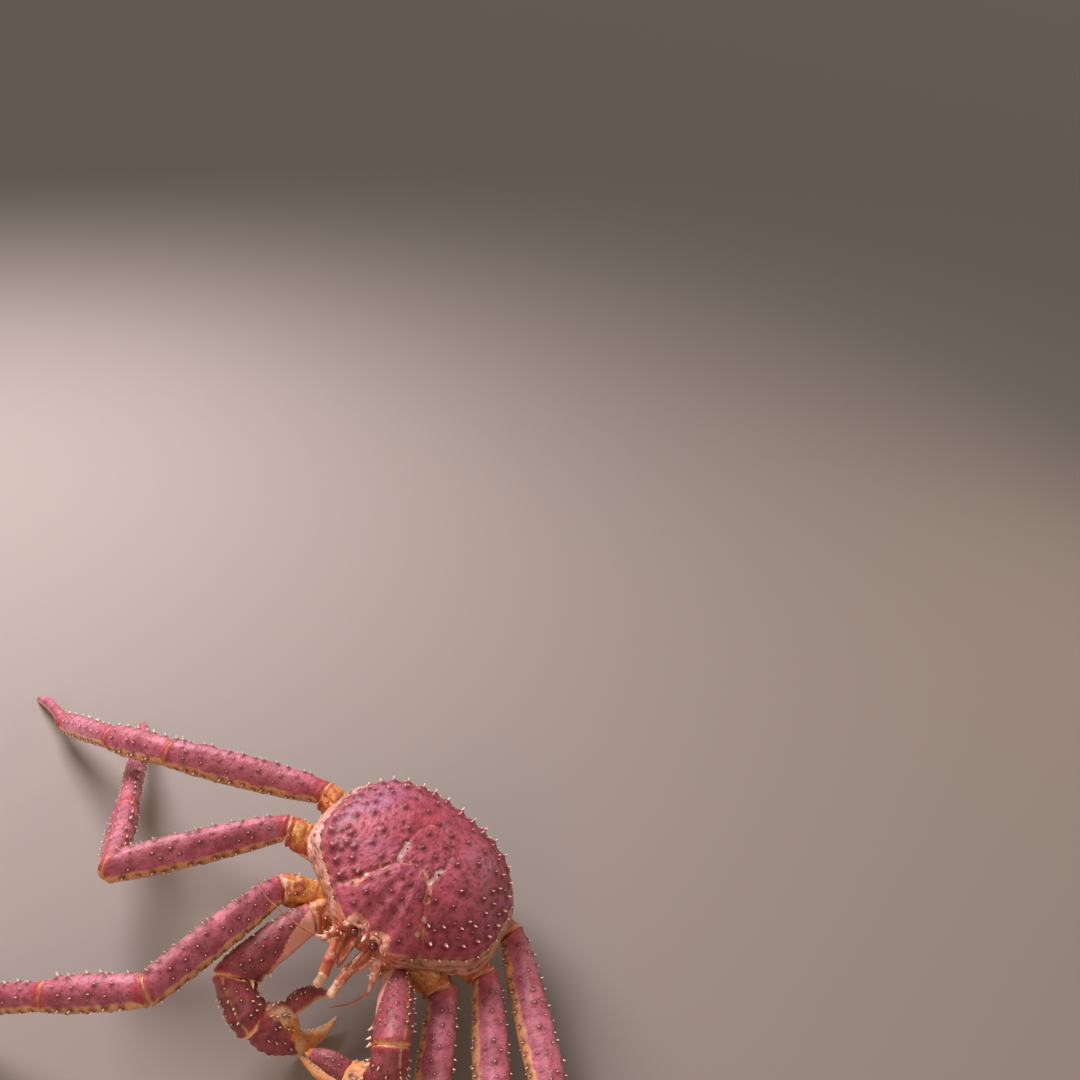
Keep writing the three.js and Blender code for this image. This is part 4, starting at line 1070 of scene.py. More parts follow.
# Root and hip in the level body, then how far the upper edges tilt back and how each piece is
# turned and raised, in degrees
LEGS = {
    "leg_1_right": dict(side=-1, root=(-52, -58, 40), hip=(-88, -78, 42), merus_share=0.84, tilt=25,
                        merus=(-100, 2), carpus=(-157, -19), propodus=(-163, -28), dactyl=-163),
    "leg_2_right": dict(side=-1, root=(-60, -22, 40), hip=(-120, -27, 42), merus_share=0.95, tilt=25,
                        merus=(-134, -6), carpus=(128, -16), propodus=(130, -20), dactyl=134),
    "leg_3_right": dict(side=-1, root=(-60, 16, 40), hip=(-117, 25, 42), merus_share=0.97, tilt=25,
                        merus=(-163, 1), carpus=(178, -20), propodus=(165, -30), dactyl=160),
    "leg_1_left": dict(side=1, root=(50, -56, 40), hip=(82, -58, 42), merus_share=0.84, tilt=55,
                       merus=(-66, -8), carpus=(-62, -6), propodus=(-58, -4), dactyl=-52),
    "leg_2_left": dict(side=1, root=(58, -20, 40), hip=(106, -21, 42), merus_share=0.95, tilt=55,
                       merus=(-58, -4), carpus=(-42, -4), propodus=(-30, -6), dactyl=-22),
    "leg_3_left": dict(side=1, root=(58, 18, 40), hip=(106, 29, 42), merus_share=0.97, tilt=55,
                       merus=(-50, 0), carpus=(-18, -4), propodus=(8, -8), dactyl=20),
}
FOOT_HEIGHT = 1
DACTYL_BOW = 5
ROUNDNESS = 0.85
RING_SPACING = 1.5
LIMB_SIDES = 56
GRAIN_SPACING = 5
SEAM = 0.55
BALL_SHARE = 0.9
BALL_RINGS = 15
BALL_SIDES = 28
# How rough a leg's root is, and how deep its creases lie
ROOT_FORM = {"rough": 2.4, "folds": 1.8}
# Rows of thorns: angle round the piece, share of its length from and to, count, height
LEG_THORNS = {
    "base": [(90, 0.45, 0.85, 2, 2.6), (40, 0.4, 0.9, 3, 2.2), (140, 0.5, 0.9, 2, 2.2)],
    "merus": [
        (92, 0.05, 0.93, 11, 4.2), (92, 0.93, 1, 2, 6), (60, 0.1, 0.95, 6, 2.1),
        (32, 0.08, 0.95, 7, 2.8), (6, 0.12, 0.95, 6, 2.2), (-28, 0.05, 0.98, 13, 3.6),
        (-62, 0.1, 0.95, 5, 2), (125, 0.1, 0.95, 6, 2.2), (155, 0.08, 0.95, 8, 3.2),
        (205, 0.1, 0.95, 6, 2.4),
    ],
    "carpus": [
        (95, 0.1, 0.95, 6, 5), (50, 0.2, 0.9, 4, 2.6), (18, 0.2, 0.9, 4, 2.8),
        (-25, 0.15, 0.98, 7, 3.8), (-60, 0.2, 0.9, 3, 2.4), (130, 0.2, 0.9, 3, 2.6),
        (160, 0.2, 0.95, 5, 3.6), (210, 0.2, 0.9, 3, 2.4),
    ],
    "propodus": [
        (92, 0.05, 0.95, 10, 4), (55, 0.1, 0.92, 6, 2), (20, 0.1, 0.92, 7, 2.3),
        (-32, 0.05, 0.95, 11, 3), (-65, 0.1, 0.9, 4, 1.8), (130, 0.1, 0.9, 5, 2),
        (158, 0.08, 0.92, 8, 2.6), (210, 0.1, 0.9, 5, 2),
    ],
    "dactyl": [(90, 0.05, 0.4, 5, 1.9), (30, 0.05, 0.35, 3, 1.4), (150, 0.05, 0.35, 3, 1.4)],
}


def heading(turn, rise):
    """A direction: the turn runs from +X towards +Y, the rise is above the floor, in degrees."""
    turn, rise = math.radians(turn), math.radians(rise)
    return np.array([math.cos(rise) * math.cos(turn), math.cos(rise) * math.sin(turn), math.sin(rise)])


def piece_frame(start, end, side, tilt):
    """How a limb piece lies: along it, to its upper edge and to the crab's front."""
    along = unit(end - start)
    up = unit(np.array([0, 0, 1]) - along * along[2])
    fore = np.cross(along, up) * side
    tilted = math.radians(tilt)
    return {
        "start": start,
        "along": along,
        "length": np.linalg.norm(end - start),
        "up": up * math.cos(tilted) - fore * math.sin(tilted),
        "fore": fore * math.cos(tilted) + up * math.sin(tilted),
    }


def tube_stations(length, size, bow=0):
    """Half height, half width and lift of the middle line at places along a piece."""
    (h0, w0), (h1, w1), (h2, w2) = size
    shares = np.array([0, 0.12, 0.35, 0.7, 0.92, 1])
    return {
        "at": shares * length,
        "high": np.array([h0, (h0 + h1) / 2, h1 * 0.97, h1, (h1 + h2) / 2, h2]),
        "wide": np.array([w0, (w0 + w1) / 2, w1 * 0.97, w1, (w1 + w2) / 2, w2]),
        "lift": np.array([0, 0.4, 0.9, 0.85, 0.25, 0]) * bow,
    }


def on_tube(frame, stations, at, angle):
    """Points on a piece's surface. An angle of 0 is its front, 90 its upper edge, 180 its back."""
    high, wide, lift = (smooth_through(at, stations["at"], stations[k]) for k in ("high", "wide", "lift"))
    turn = np.radians(angle)
    cos, sin = np.cos(turn), np.sin(turn)
    wide = wide * np.sign(cos) * np.abs(cos) ** ROUNDNESS
    high = high * np.sign(sin) * np.abs(sin) ** ROUNDNESS
    place = frame["start"] + frame["along"] * np.asarray(at)[..., None]
    return place + frame["fore"] * wide[..., None] + frame["up"] * (high + lift)[..., None]


def tube_thorns(frame, stations, rows, rng):
    """Rows of thorns on a piece, and a scatter of grains between them."""
    at, angle, tall = [], [], []
    for row_angle, low, high, count, height in rows:
        steps = (np.arange(count) + rng.uniform(0.2, 0.8, count)) / count
        at += list((low + (high - low) * steps) * frame["length"])
        angle += list(row_angle + rng.uniform(-6, 6, count))
        tall += list(height * rng.uniform(0.7, 1.1, count))
    grains = int(frame["length"] / GRAIN_SPACING * 4)
    at += list(rng.uniform(0.03, 0.97, grains) * frame["length"])
    angle += list(rng.uniform(-50, 215, grains))
    tall += list(rng.uniform(0.4, 1.1, grains))
    at, angle = np.array(at), np.array(angle)
    roots = on_tube(frame, stations, at, angle)
    middle = frame["start"] + frame["along"] * at[:, None]
    return thorn_set(roots, unit(roots - middle) + frame["along"] * 0.35, tall, 0.4)


def root_folds(points):
    """How deep each point lies in the creases that gather a leg's root, from 0 to 1."""
    creases = smooth_step(0.3, 0, np.abs(smooth_noise(points, 9, 53)))
    return np.maximum(creases, 0.5 * smooth_step(0.2, 0, np.abs(smooth_noise(points, 4, 54))))


def tube_skin(frame, stations, thorns, cuts, paint, lip=1.0, seed=1, sides=LIMB_SIDES, rough=1, folds=0):
    """The skin of a limb piece with round ends, cut square to the bend at its hinges."""
    length = stations["at"][-1]
    inner = np.linspace(stations["at"][0], length, max(12, int(length / RING_SPACING)))
    turns = np.radians(np.linspace(84, 12, 7))
    w0, w2 = stations["wide"][0], stations["wide"][-1]
    at = np.concatenate([inner[0] - w0 * np.sin(turns), inner, length + w2 * np.sin(turns[::-1])])
    shrink = np.concatenate([np.cos(turns), np.ones(len(inner)), np.cos(turns[::-1])])
    angle = np.linspace(-180, 180, sides, endpoint=False)
    ring_at, ring_angle = np.meshgrid(at, angle, indexing="ij")
    crest = 0.05 * np.exp(-(((ring_angle - 92) / 13) ** 2))
    crest = crest + 0.05 * np.exp(-(((ring_angle + 28) / 14) ** 2))
    rings = on_tube(frame, stations, np.clip(ring_at, inner[0], length), ring_angle)
    lift = smooth_through(np.clip(ring_at, inner[0], length), stations["at"], stations["lift"])
    middle = frame["start"] + frame["along"] * np.clip(ring_at, inner[0], length)[..., None]
    middle = middle + frame["up"] * lift[..., None]
    past = (ring_at - np.clip(ring_at, inner[0], length))[..., None]
    widened = (shrink[:, None] * (1 + crest * rough))[..., None]
    rings = middle + (rings - middle) * widened + frame["along"] * past
    out = ring_normals(rings)
    lumps = 0.35 * smooth_noise(rings, 9, seed) + 0.14 * smooth_noise(rings, 3, seed + 1)
    halo = np.zeros(rings.shape[:2])
    rings = rings + out * (lumps * rough - folds * root_folds(rings))[..., None]
    if thorns:
        rings, halo = mounds(rings, out, thorns, 1.7, 0.4)
    edge = np.full(rings.shape[:2], 99.0)
    for joint, inward in cuts:
        apart = (rings - joint) @ inward
        near = np.maximum(apart, SEAM)
        rings = rings + frame["along"] * ((near - apart) / (frame["along"] @ inward))[..., None]
        middle_cut = frame["start"] + frame["along"] * ((rings - frame["start"]) @ frame["along"])[..., None]
        rolled = lip * 0.9 * np.exp(-(((near - 2.6) / 1.4) ** 2))
        rolled = rolled - 0.9 * np.exp(-(((near - SEAM) / 0.6) ** 2))
        beside = np.minimum(np.abs(ring_angle), 180 - np.abs(ring_angle))
        rolled = rolled + 1.5 * lip * np.exp(-(((near - 3) / 3.5) ** 2) - (beside / 26) ** 2)
        flat = smooth_step(-4, 0.5, apart)
        rings = rings + unit(rings - middle_cut) * (rolled * flat)[..., None]
        edge = np.minimum(edge, near)
    marks = paint(np.broadcast_to(at[:, None] / length, rings.shape[:2]), ring_angle, rings)
    edge = edge + 0.7 * smooth_noise(rings, 4, seed + 2)
    marks["pale"] = np.maximum(marks["pale"], 0.6 * smooth_step(2.8, 1.1, edge))
    marks["groove"] = np.maximum(marks.get("groove", 0), 0.5 * smooth_step(1.3, 0.7, edge))
    marks["red"] = np.maximum(marks.get("red", 0), 0.8 * smooth_step(7, 4, edge))
    marks["halo"] = np.maximum(marks.get("halo", 0), halo)
    return ring_skin(rings, marks)


def hinge_ball(joint, frame, high, wide):
    """The soft skin bulging in a hinge between two pieces."""
    turns = np.radians(np.linspace(-84, 84, BALL_RINGS))
    around = np.radians(np.linspace(0, 360, BALL_SIDES, endpoint=False))
    rings = joint + frame["along"] * (wide * np.sin(turns))[:, None, None] + np.cos(turns)[:, None, None] * (
        frame["fore"] * (wide * np.cos(around))[:, None] + frame["up"] * (high * np.sin(around))[:, None]
    )
    return ring_skin(rings, {"groove": np.ones(rings.shape[:2])})


def leg_paint(share, angle, points):
    """Cream along the lower front edge and underneath, and a thin pale line on the crest."""
    ragged = 5 * smooth_noise(points, 9, 31) + 4 * smooth_noise(points, 2.5, 32)
    low = smooth_step(0, -24, angle + ragged) * smooth_step(-176, -150, angle + ragged)
    line = 0.65 * np.exp(-(((angle - 99) / 6) ** 2))
    red = smooth_step(0.09, 0.04, share + 0.02 * smooth_noise(points, 4, 33))
    return {"pale": np.maximum(low, line), "red": red}


def dactyl_paint(share, angle, points):
    """As the leg, with a horny tip that is worn dark."""
    marks = leg_paint(share, angle, points)
    tip = smooth_step(0.86, 0.95, share + 0.02 * smooth_noise(points, 4, 34))
    return {**marks, "pale": marks["pale"] * (1 - tip), "halo": tip}


def base_paint(share, angle, points):
    """Yellow orange with cream patches, and crimson ones on the upper side towards the hip."""
    pale = smooth_step(0.15, 0.6, smooth_noise(points, 10, 51))
    red = smooth_step(0.1, 0.45, smooth_noise(points, 8, 52) + 0.4 * share - 0.25)
    return {"pale": pale, "red": red * 0.9, "groove": np.zeros_like(share), "halo": 0.6 * root_folds(points)}


leg_shell = hard_shell(
    "leg_shell", "c0687f", "9c4a5e", "c8869a", "661b29", "dda670", "c8946e", "e2b4a4",
)
leg_horn = horn("leg_thorn", "8a2f30", "dba67c", "f8e8cc", 0.35, 2.6)
gold_shell = hard_shell(
    "leg_root_shell", "dfa04a", "d98a4e", "ecbc78", "9c3a26", "ecc6ac", "e0a878", "dc9c92",
)


def leg_joints(leg):
    """The root, the four joints and the tip of a leg, whose last piece comes down to the floor."""
    joints = [standing(leg["root"]), standing(leg["hip"])]
    for piece in ("merus", "carpus", "propodus"):
        share = leg["merus_share"] if piece == "merus" else LEG_LENGTHS[piece]
        joints.append(joints[-1] + heading(*leg[piece]) * share * CARAPACE_LENGTH)
    length = LEG_LENGTHS["dactyl"] * CARAPACE_LENGTH
    fall = math.degrees(math.asin((FOOT_HEIGHT - joints[-1][2]) / length))
    joints.append(joints[-1] + heading(leg["dactyl"], fall) * length)
    return joints


def bend_plane(joint, before, after, keep):
    """The joint and the direction into the piece, square to the bend between two pieces."""
    normal = unit(before + after)
    return joint, normal if keep == "after" else -normal


def clear_of(thorns, cuts, apart):
    """The thorns that stand at least this far inside every cut."""
    kept = np.all([(thorns["root"] - joint) @ inward > apart for joint, inward in cuts], axis=0)
    return {key: values[kept] for key, values in thorns.items()}


def make_leg(name, leg, seed):
    """The five pieces of one walking leg."""
    joints = leg_joints(leg)
    frames = [
        piece_frame(joints[i], joints[i + 1], leg["side"], 0 if piece == "base" else leg["tilt"])
        for i, piece in enumerate(LEG_PIECES)
    ]
    for i, piece in enumerate(LEG_PIECES):
        frame_here = frames[i]
        rng = np.random.default_rng(seed * 10 + i)
        bow = DACTYL_BOW if piece == "dactyl" else 0
        stations = tube_stations(frame_here["length"], LEG_SIZES[piece], bow)
        cuts = []
        if i > 0:
            cuts.append(bend_plane(joints[i], frames[i - 1]["along"], frame_here["along"], "after"))
        if i < len(LEG_PIECES) - 1:
            cuts.append(bend_plane(joints[i + 1], frame_here["along"], frames[i + 1]["along"], "before"))
        thorns = clear_of(tube_thorns(frame_here, stations, LEG_THORNS[piece], rng), cuts, 2)
        paint = {"base": base_paint, "dactyl": dactyl_paint}.get(piece, leg_paint)
        form = ROOT_FORM if piece == "base" else {}
        skins = [tube_skin(frame_here, stations, thorns, cuts, paint, seed=seed * 10 + i, **form)]
        if i < len(LEG_PIECES) - 1:
            high, wide = LEG_SIZES[piece][2]
            skins.append(hinge_ball(joints[i + 1], frame_here, high * BALL_SHARE, wide * BALL_SHARE))
        shell = gold_shell if piece == "base" else leg_shell
        made = make_piece(f"{name}_{piece}", skins, thorns, shell, leg_horn)
        for vertex in made.data.vertices:
            vertex.co.z = max(vertex.co.z, 0)


for seed, (name, leg) in enumerate(LEGS.items(), start=1):
    make_leg(name, leg, seed)

# Claw arms
# The first pair of limbs ends in claws, both built to the same sizes, though in life the right
# one is far stouter. The palm runs on into a fixed finger, the other finger is hinged at its top,
# and blunt white teeth line the bite.
# Lengths as shares of the shield's, and sizes, places and turns given as for the legs
CLAW_ARM_LENGTHS = {"merus": 0.5, "carpus": 0.27, "claw": 0.56}
CLAW_ARM_SIZES = {
    "base": ((15, 14), (14, 13), (11.5, 10.5)),
    "merus": ((11.5, 10.5), (17.5, 13.5), (15, 12.5)),
    "carpus": ((14, 12), (17, 14), (11.5, 11)),
}
CLAW_ARMS = {
    "claw_right": dict(side=-1, root=(-26, -54, 40), hip=(-50, -80, 42), tilt=25, claw_tilt=-35,
                       merus=(-112, -14), carpus=(-23, -27), claw=(56, -34), gape=24),
    "claw_left": dict(side=1, root=(26, -52, 38), hip=(42, -76, 42), tilt=25, claw_tilt=10,
                      merus=(-61, 21), carpus=(-70, -68), claw=(177, -25), gape=14),
}
# Share of the length, half height, half width and lift of the middle line along the palm
PALM_PROFILE = [
    (-0.05, 8, 7.5, 0), (0.02, 11, 10, 0), (0.14, 17, 13.5, -1), (0.32, 20, 14.5, -3),
    (0.44, 17.5, 13.5, -6), (0.54, 11, 11.5, -13), (0.68, 8.5, 9, -14), (0.82, 6.5, 6.8, -10),
    (0.93, 4, 4.2, -3), (1, 1.2, 1.4, 5),
]
FINGER_PROFILE = [
    (-0.06, 5, 5, -3), (0.05, 8.5, 8.5, -1), (0.25, 8.5, 8.5, 3), (0.55, 7, 7, 4),
    (0.8, 4.5, 4.8, 1), (0.93, 2.8, 3, -2), (1, 1.1, 1.2, -5),
]
FINGER_SHARE = 0.5
FINGER_HINGE = (0.35, 11)
LAST_PALM_THORN = 0.52
TOOTH_COUNT = 8
TOOTH_HEIGHT = 2.1
TOOTH_THICKNESS = 0.95
CLAW_THORNS = {
    "base": [(90, 0.45, 0.9, 2, 2.8), (40, 0.4, 0.9, 3, 2.4), (0, 0.5, 0.9, 2, 2.4)],
    "merus": [
        (95, 0.08, 0.95, 8, 4), (60, 0.2, 0.92, 4, 2.8), (35, 0.2, 0.95, 5, 3.2),
        (8, 0.45, 0.95, 4, 2.6), (-15, 0.8, 0.94, 1, 9), (-45, 0.52, 0.93, 2, 8),
        (130, 0.2, 0.9, 4, 3), (155, 0.2, 0.95, 5, 3.6),
    ],
    "carpus": [
        (100, 0.1, 0.95, 5, 4.6), (70, 0.2, 0.9, 3, 3), (40, 0.15, 0.9, 4, 4), (15, 0.2, 0.9, 3, 3.2),
        (-8, 0.3, 1, 3, 7), (-40, 0.4, 1, 3, 6), (135, 0.2, 0.9, 4, 3), (165, 0.15, 0.95, 5, 3.8),
    ],
    "palm": [
        (100, 0.05, 0.3, 4, 5.4), (60, 0.08, 0.34, 3, 3), (15, 0.08, 0.4, 3, 2.4),
        (-22, 0.1, 0.45, 3, 2.6), (140, 0.08, 0.34, 4, 3.2), (170, 0.1, 0.4, 4, 2.8),
        (200, 0.1, 0.45, 4, 3.2), (-62, 0.08, 0.52, 5, 4.8), (-95, 0.1, 0.5, 4, 3.6),
    ],
    "finger": [(90, 0.08, 0.5, 4, 2.6), (55, 0.1, 0.4, 2, 2), (125, 0.1, 0.45, 3, 2)],
}


def profile_stations(profile, length):
    """The half height, half width and lift of a profile at places along a piece."""
    share, high, wide, lift = np.array(profile, float).T
    return {"at": share * length, "high": high, "wide": wide, "lift": lift}


def bite_teeth(frame, stations, angle, low, high, rng):
    """Blunt rounded teeth along the biting edge of a finger."""
    at = (low + (high - low) * (np.arange(TOOTH_COUNT) + 0.5) / TOOTH_COUNT) * frame["length"]
    roots = on_tube(frame, stations, at, np.full(TOOTH_COUNT, float(angle)))
    aims = np.tile(frame["up"] * math.copysign(1, math.sin(math.radians(angle))), (TOOTH_COUNT, 1))
    teeth = thorn_set(roots, aims, TOOTH_HEIGHT * rng.uniform(0.7, 1.15, TOOTH_COUNT), 0.3)
    teeth["thick"] = teeth["tall"] * TOOTH_THICKNESS
    return teeth


def arm_paint(share, angle, points):
    """Cream along the lower edge, with a thin pale line along the upper one."""
    ragged = 5 * smooth_noise(points, 7, 61) + 3 * smooth_noise(points, 2, 62)
    low = smooth_step(-20, -40, angle + ragged) * smooth_step(-170, -150, angle + ragged)
    line = 0.6 * np.exp(-(((angle - 100) / 7) ** 2))
    red = smooth_step(0.2, 0.5, smooth_noise(points, 8, 63)) * 0.5
    return {"pale": np.maximum(low, line), "red": red}


def merus_paint(share, angle, points):
    """As the arm, with a smooth pink facet that narrows along the near half of its inner face."""
    marks = arm_paint(share, angle, points)
    above = angle - 52 + 140 * share + 5 * smooth_noise(points, 7, 64)
    near_half = smooth_step(0.7, 0.62, share)
    facet = smooth_step(8, 2, above) * smooth_step(-150, -140, angle) * near_half
    border = smooth_step(16, 8, above) * (1 - facet) * near_half
    marks["pale"] = np.maximum(marks["pale"], facet)
    marks["red"] = np.maximum(marks["red"], 0.6 * border)
    marks["rose"] = 0.85 * facet
    return marks


def palm_paint(share, angle, points):
    """Purple at the wrist, going over to orange cream where the fingers begin."""
    ragged = 0.06 * smooth_noise(points, 9, 71) + 0.04 * smooth_noise(points, 3, 72)
    border = np.clip(0.3 - 0.34 * np.sin(np.radians(angle)), 0.05, 0.5)
    warm = smooth_step(-0.04, 0.12, share - border + ragged)
    bite = smooth_step(0.5, 0.56, share) * np.exp(-(((angle - 90) / 38) ** 2))
    spots = smooth_step(0.45, 0.6, smooth_noise(points, 2.2, 74)) * bite
    red = smooth_step(0.3, 0.7, smooth_noise(points, 7, 73)) * 0.6
    rose = 0.5 * warm * smooth_step(0.26, 0.12, share) * smooth_step(-0.3, 0.4, smooth_noise(points, 6, 75))
    return {"pale": warm, "groove": 0.7 * bite, "halo": spots, "red": red, "rose": rose}


def finger_paint(share, angle, points):
    """Brown purple along its back, cream along the bite."""
    ragged = 12 * smooth_noise(points, 6, 81)
    bite = smooth_step(-5, -45, angle + ragged) * smooth_step(-185, -145, angle + ragged)
    return {"pale": np.maximum(bite, smooth_step(0.72, 0.95, share)), "groove": 0.6 * bite}


claw_shell = hard_shell(
    "claw_shell", "a6545f", "85404a", "a46a76", "611d22", "e68c46", "f2c896", "dca498",
)
claw_horn = horn("claw_thorn", "9a3f34", "e0a873", "f5e0bc", 0.35, 2.6)


def make_claw_arm(name, arm, seed):
    """The root, the two arm pieces, the palm and the hinged finger of one claw."""
    joints = [standing(arm["root"]), standing(arm["hip"])]
    for piece in ("merus", "carpus", "claw"):
        joints.append(joints[-1] + heading(*arm[piece]) * CLAW_ARM_LENGTHS[piece] * CARAPACE_LENGTH)
    tilts = (0, arm["tilt"], arm["tilt"], arm["claw_tilt"])
    frames = [piece_frame(joints[i], joints[i + 1], arm["side"], tilt) for i, tilt in enumerate(tilts)]
    for i, piece in enumerate(("base", "merus", "carpus")):
        rng = np.random.default_rng(seed * 10 + i)
        stations = tube_stations(frames[i]["length"], CLAW_ARM_SIZES[piece])
        cuts = [bend_plane(joints[i + 1], frames[i]["along"], frames[i + 1]["along"], "before")]
        if i > 0:
            cuts.append(bend_plane(joints[i], frames[i - 1]["along"], frames[i]["along"], "after"))
        thorns = clear_of(tube_thorns(frames[i], stations, CLAW_THORNS[piece], rng), cuts, 1.5)
        paint = {"base": base_paint, "merus": merus_paint, "carpus": arm_paint}[piece]
        form = ROOT_FORM if piece == "base" else {}
        skins = [tube_skin(frames[i], stations, thorns, cuts, paint, seed=seed * 10 + i, **form)]
        high, wide = CLAW_ARM_SIZES[piece][2]
        skins.append(hinge_ball(joints[i + 1], frames[i], high * BALL_SHARE, wide * BALL_SHARE))
        shell = gold_shell if piece == "base" else claw_shell
        make_piece(f"{name}_{piece}", skins, thorns, shell, claw_horn)
    claw = frames[3]
    rng = np.random.default_rng(seed * 10 + 3)
    stations = profile_stations(PALM_PROFILE, claw["length"])
    cuts = [bend_plane(joints[3], frames[2]["along"], claw["along"], "after")]
    thorns = clear_of(tube_thorns(claw, stations, CLAW_THORNS["palm"], rng), cuts, 1.5)
    near = (thorns["root"] - claw["start"]) @ claw["along"] < LAST_PALM_THORN * claw["length"]
    thorns = {key: values[near] for key, values in thorns.items()}
    teeth = bite_teeth(claw, stations, 90, 0.58, 0.94, rng)
    skin = tube_skin(claw, stations, thorns, cuts, palm_paint, seed=seed * 10 + 3)
    make_piece(f"{name}_palm", [skin], joined_thorns([thorns, teeth]), claw_shell, claw_horn)
    hinge_share, hinge_lift = FINGER_HINGE
    opened = math.radians(arm["gape"])
    finger = {
        "start": claw["start"] + claw["along"] * hinge_share * claw["length"] + claw["up"] * hinge_lift,
        "along": claw["along"] * math.cos(opened) + claw["up"] * math.sin(opened),
        "length": FINGER_SHARE * claw["length"],
        "up": claw["up"] * math.cos(opened) - claw["along"] * math.sin(opened),
        "fore": claw["fore"],
    }
    stations = profile_stations(FINGER_PROFILE, finger["length"])
    thorns = tube_thorns(finger, stations, CLAW_THORNS["finger"], rng)
    teeth = bite_teeth(finger, stations, -90, 0.28, 0.9, rng)
    skin = tube_skin(finger, stations, thorns, [], finger_paint, seed=seed * 10 + 4)
    make_piece(f"{name}_finger", [skin], joined_thorns([thorns, teeth]), claw_shell, claw_horn)


for seed, (name, arm) in enumerate(CLAW_ARMS.items(), start=11):
    make_claw_arm(name, arm, seed)

# Face
# Eyes stand on short stalks in notches of the shield's front edge. Below them hang the feelers
# and the outer mouth legs, chains of small orange tubes that end in pale, softly haired tips.
EYE_STALK = (7, -70, 65)
STALK_RADIUS = 2.8
# Chains as x to the side, y, z and radius in the level body
ANTENNULE = [
    (5, -72, 60, 2.2), (5.5, -86, 60, 2), (4.5, -93, 53, 1.7), (5, -100, 51, 1.3), (8, -107, 57, 0.6),
]
ANTENNAE = {
    "right": [(21, -70, 60, 5), (24, -88, 61, 4.2), (27, -98, 62, 2.6), (34, -102, 63, 1.2),
              (58, -106, 65, 1), (82, -106, 67, 0.8), (104, -98, 68, 0.5)],
    "left": [(21, -70, 60, 4.8), (21, -86, 61, 4.2), (25, -93, 52, 3.2), (28, -97, 41, 2),
             (28, -100, 32, 1.2), (20, -112, 24, 0.9), (8, -124, 22, 0.5)],
}
MAXILLIPEDS = {
    "right": [(14, -62, 44, 6.5), (19, -84, 48, 5.2), (14, -100, 40, 5), (11, -109, 33, 4.3),
              (10, -114, 26, 4)],
    "left": [(12, -60, 44, 6.5), (8, -84, 42, 6), (4, -98, 39, 5.2), (4, -108, 36, 4.3),
             (5, -115, 30, 4)],
}
CHAIN_SIDES = 28
WHIP_RADIUS = 1.3
# Short inner palps between the mouth legs, written as the chains are
PALPS = [
    [(11, -64, 50, 7), (10, -78, 48, 6.5), (8, -88, 44, 5), (6, -94, 38, 3)],
    [(8, -72, 56, 3.4), (8, -84, 53, 3), (6, -93, 44, 2.4), (5, -97, 37, 1.4)],
    [(16, -74, 58, 2.6), (15, -87, 55, 2.2), (12, -95, 50, 1.5)],
]
BRISTLE_COUNT = 46
BRISTLE_RADIUS = 0.22


def chain_paint(tone):
    """The paint of one tube of a chain: worn pale in spots, the more so towards the chain's end."""
    def paint(share, angle, points):
        ends = smooth_step(0.8, 1, share) * 0.5
        worn = smooth_step(0.1, 0.6, smooth_noise(points, 4, 91)) * 0.7
        pale = np.clip(np.maximum(ends, worn) + smooth_step(0.55, 0.75, tone), 0, 1)
        return {"pale": pale, "red": 0.7 * smooth_step(0.25, 0, share)}

    return paint


def chain_skins(points, side, seed):
    """A chain of small tubes with swollen ends, and a fine ringed whip past the last stout one."""
    places = [standing((side * x, y, z)) for x, y, z, _ in points]
    radii = [radius for *_, radius in points]
    stout = sum(radius > WHIP_RADIUS for radius in radii)
    skins = []
    for i in range(min(stout, len(places) - 1)):
        frame_here = piece_frame(places[i], places[i + 1], 1, 0)
        r0, r1 = radii[i], radii[i + 1]
        across = np.array([r0, r0 * 0.86, (r0 + r1) / 2 * 0.86, r1 * 1.02, r1])
        stations = {
            "at": np.array([0, 0.25, 0.55, 0.85, 1]) * frame_here["length"],
            "high": across, "wide": across, "lift": np.zeros(5),
        }
        paint = chain_paint(i / (len(places) - 1))
        rough = min(2.6, r1 / 1.7)
        skins.append(tube_skin(
            frame_here, stations, None, [], paint, seed=seed + i, sides=CHAIN_SIDES, rough=rough,
        ))
    if stout < len(places) - 1:
        fine = [radius * 0.8 for radius in radii[stout:]]
        marks = {"pale": 0.3, "halo": 0.45}
        skins.append(rope_skin(places[stout:], fine, seed, sides=10, marks=marks, rough=0.3))
    return skins


mouth_shell = hard_shell(
    "mouth_leg_shell", "d08260", "c0694e", "e0a090", "86302a", "e6b090", "efd2ba", "e8b8a4",
)
mouth_horn = horn("mouth_thorn", "c0634a", "e6b294", "f8e8d8", 0.4, 2)
feeler_rng = np.random.default_rng(5)


def chain_thorns(points, side, count, height):
    """A few small thorns on the stout lengths of a feeler."""
    roots, aims, talls = [], [], []
    for (x0, y0, z0, r0), (x1, y1, z1, r1) in zip(points[:2], points[1:3]):
        start, end = standing((side * x0, y0, z0)), standing((side * x1, y1, z1))
        frame_here = piece_frame(start, end, 1, 0)
        for _ in range(count):
            share = feeler_rng.uniform(0.3, 1)
            turn = feeler_rng.uniform(-0.6, math.pi + 0.6)
            out = frame_here["fore"] * math.cos(turn) + frame_here["up"] * math.sin(turn)
            radius = r0 + (r1 - r0) * share
            roots.append(start + (end - start) * share + out * radius * 0.95)
            aims.append(out + frame_here["along"] * 0.6)
            talls.append(height * feeler_rng.uniform(0.6, 1.1))
    return thorn_set(roots, aims, talls, 0.34)


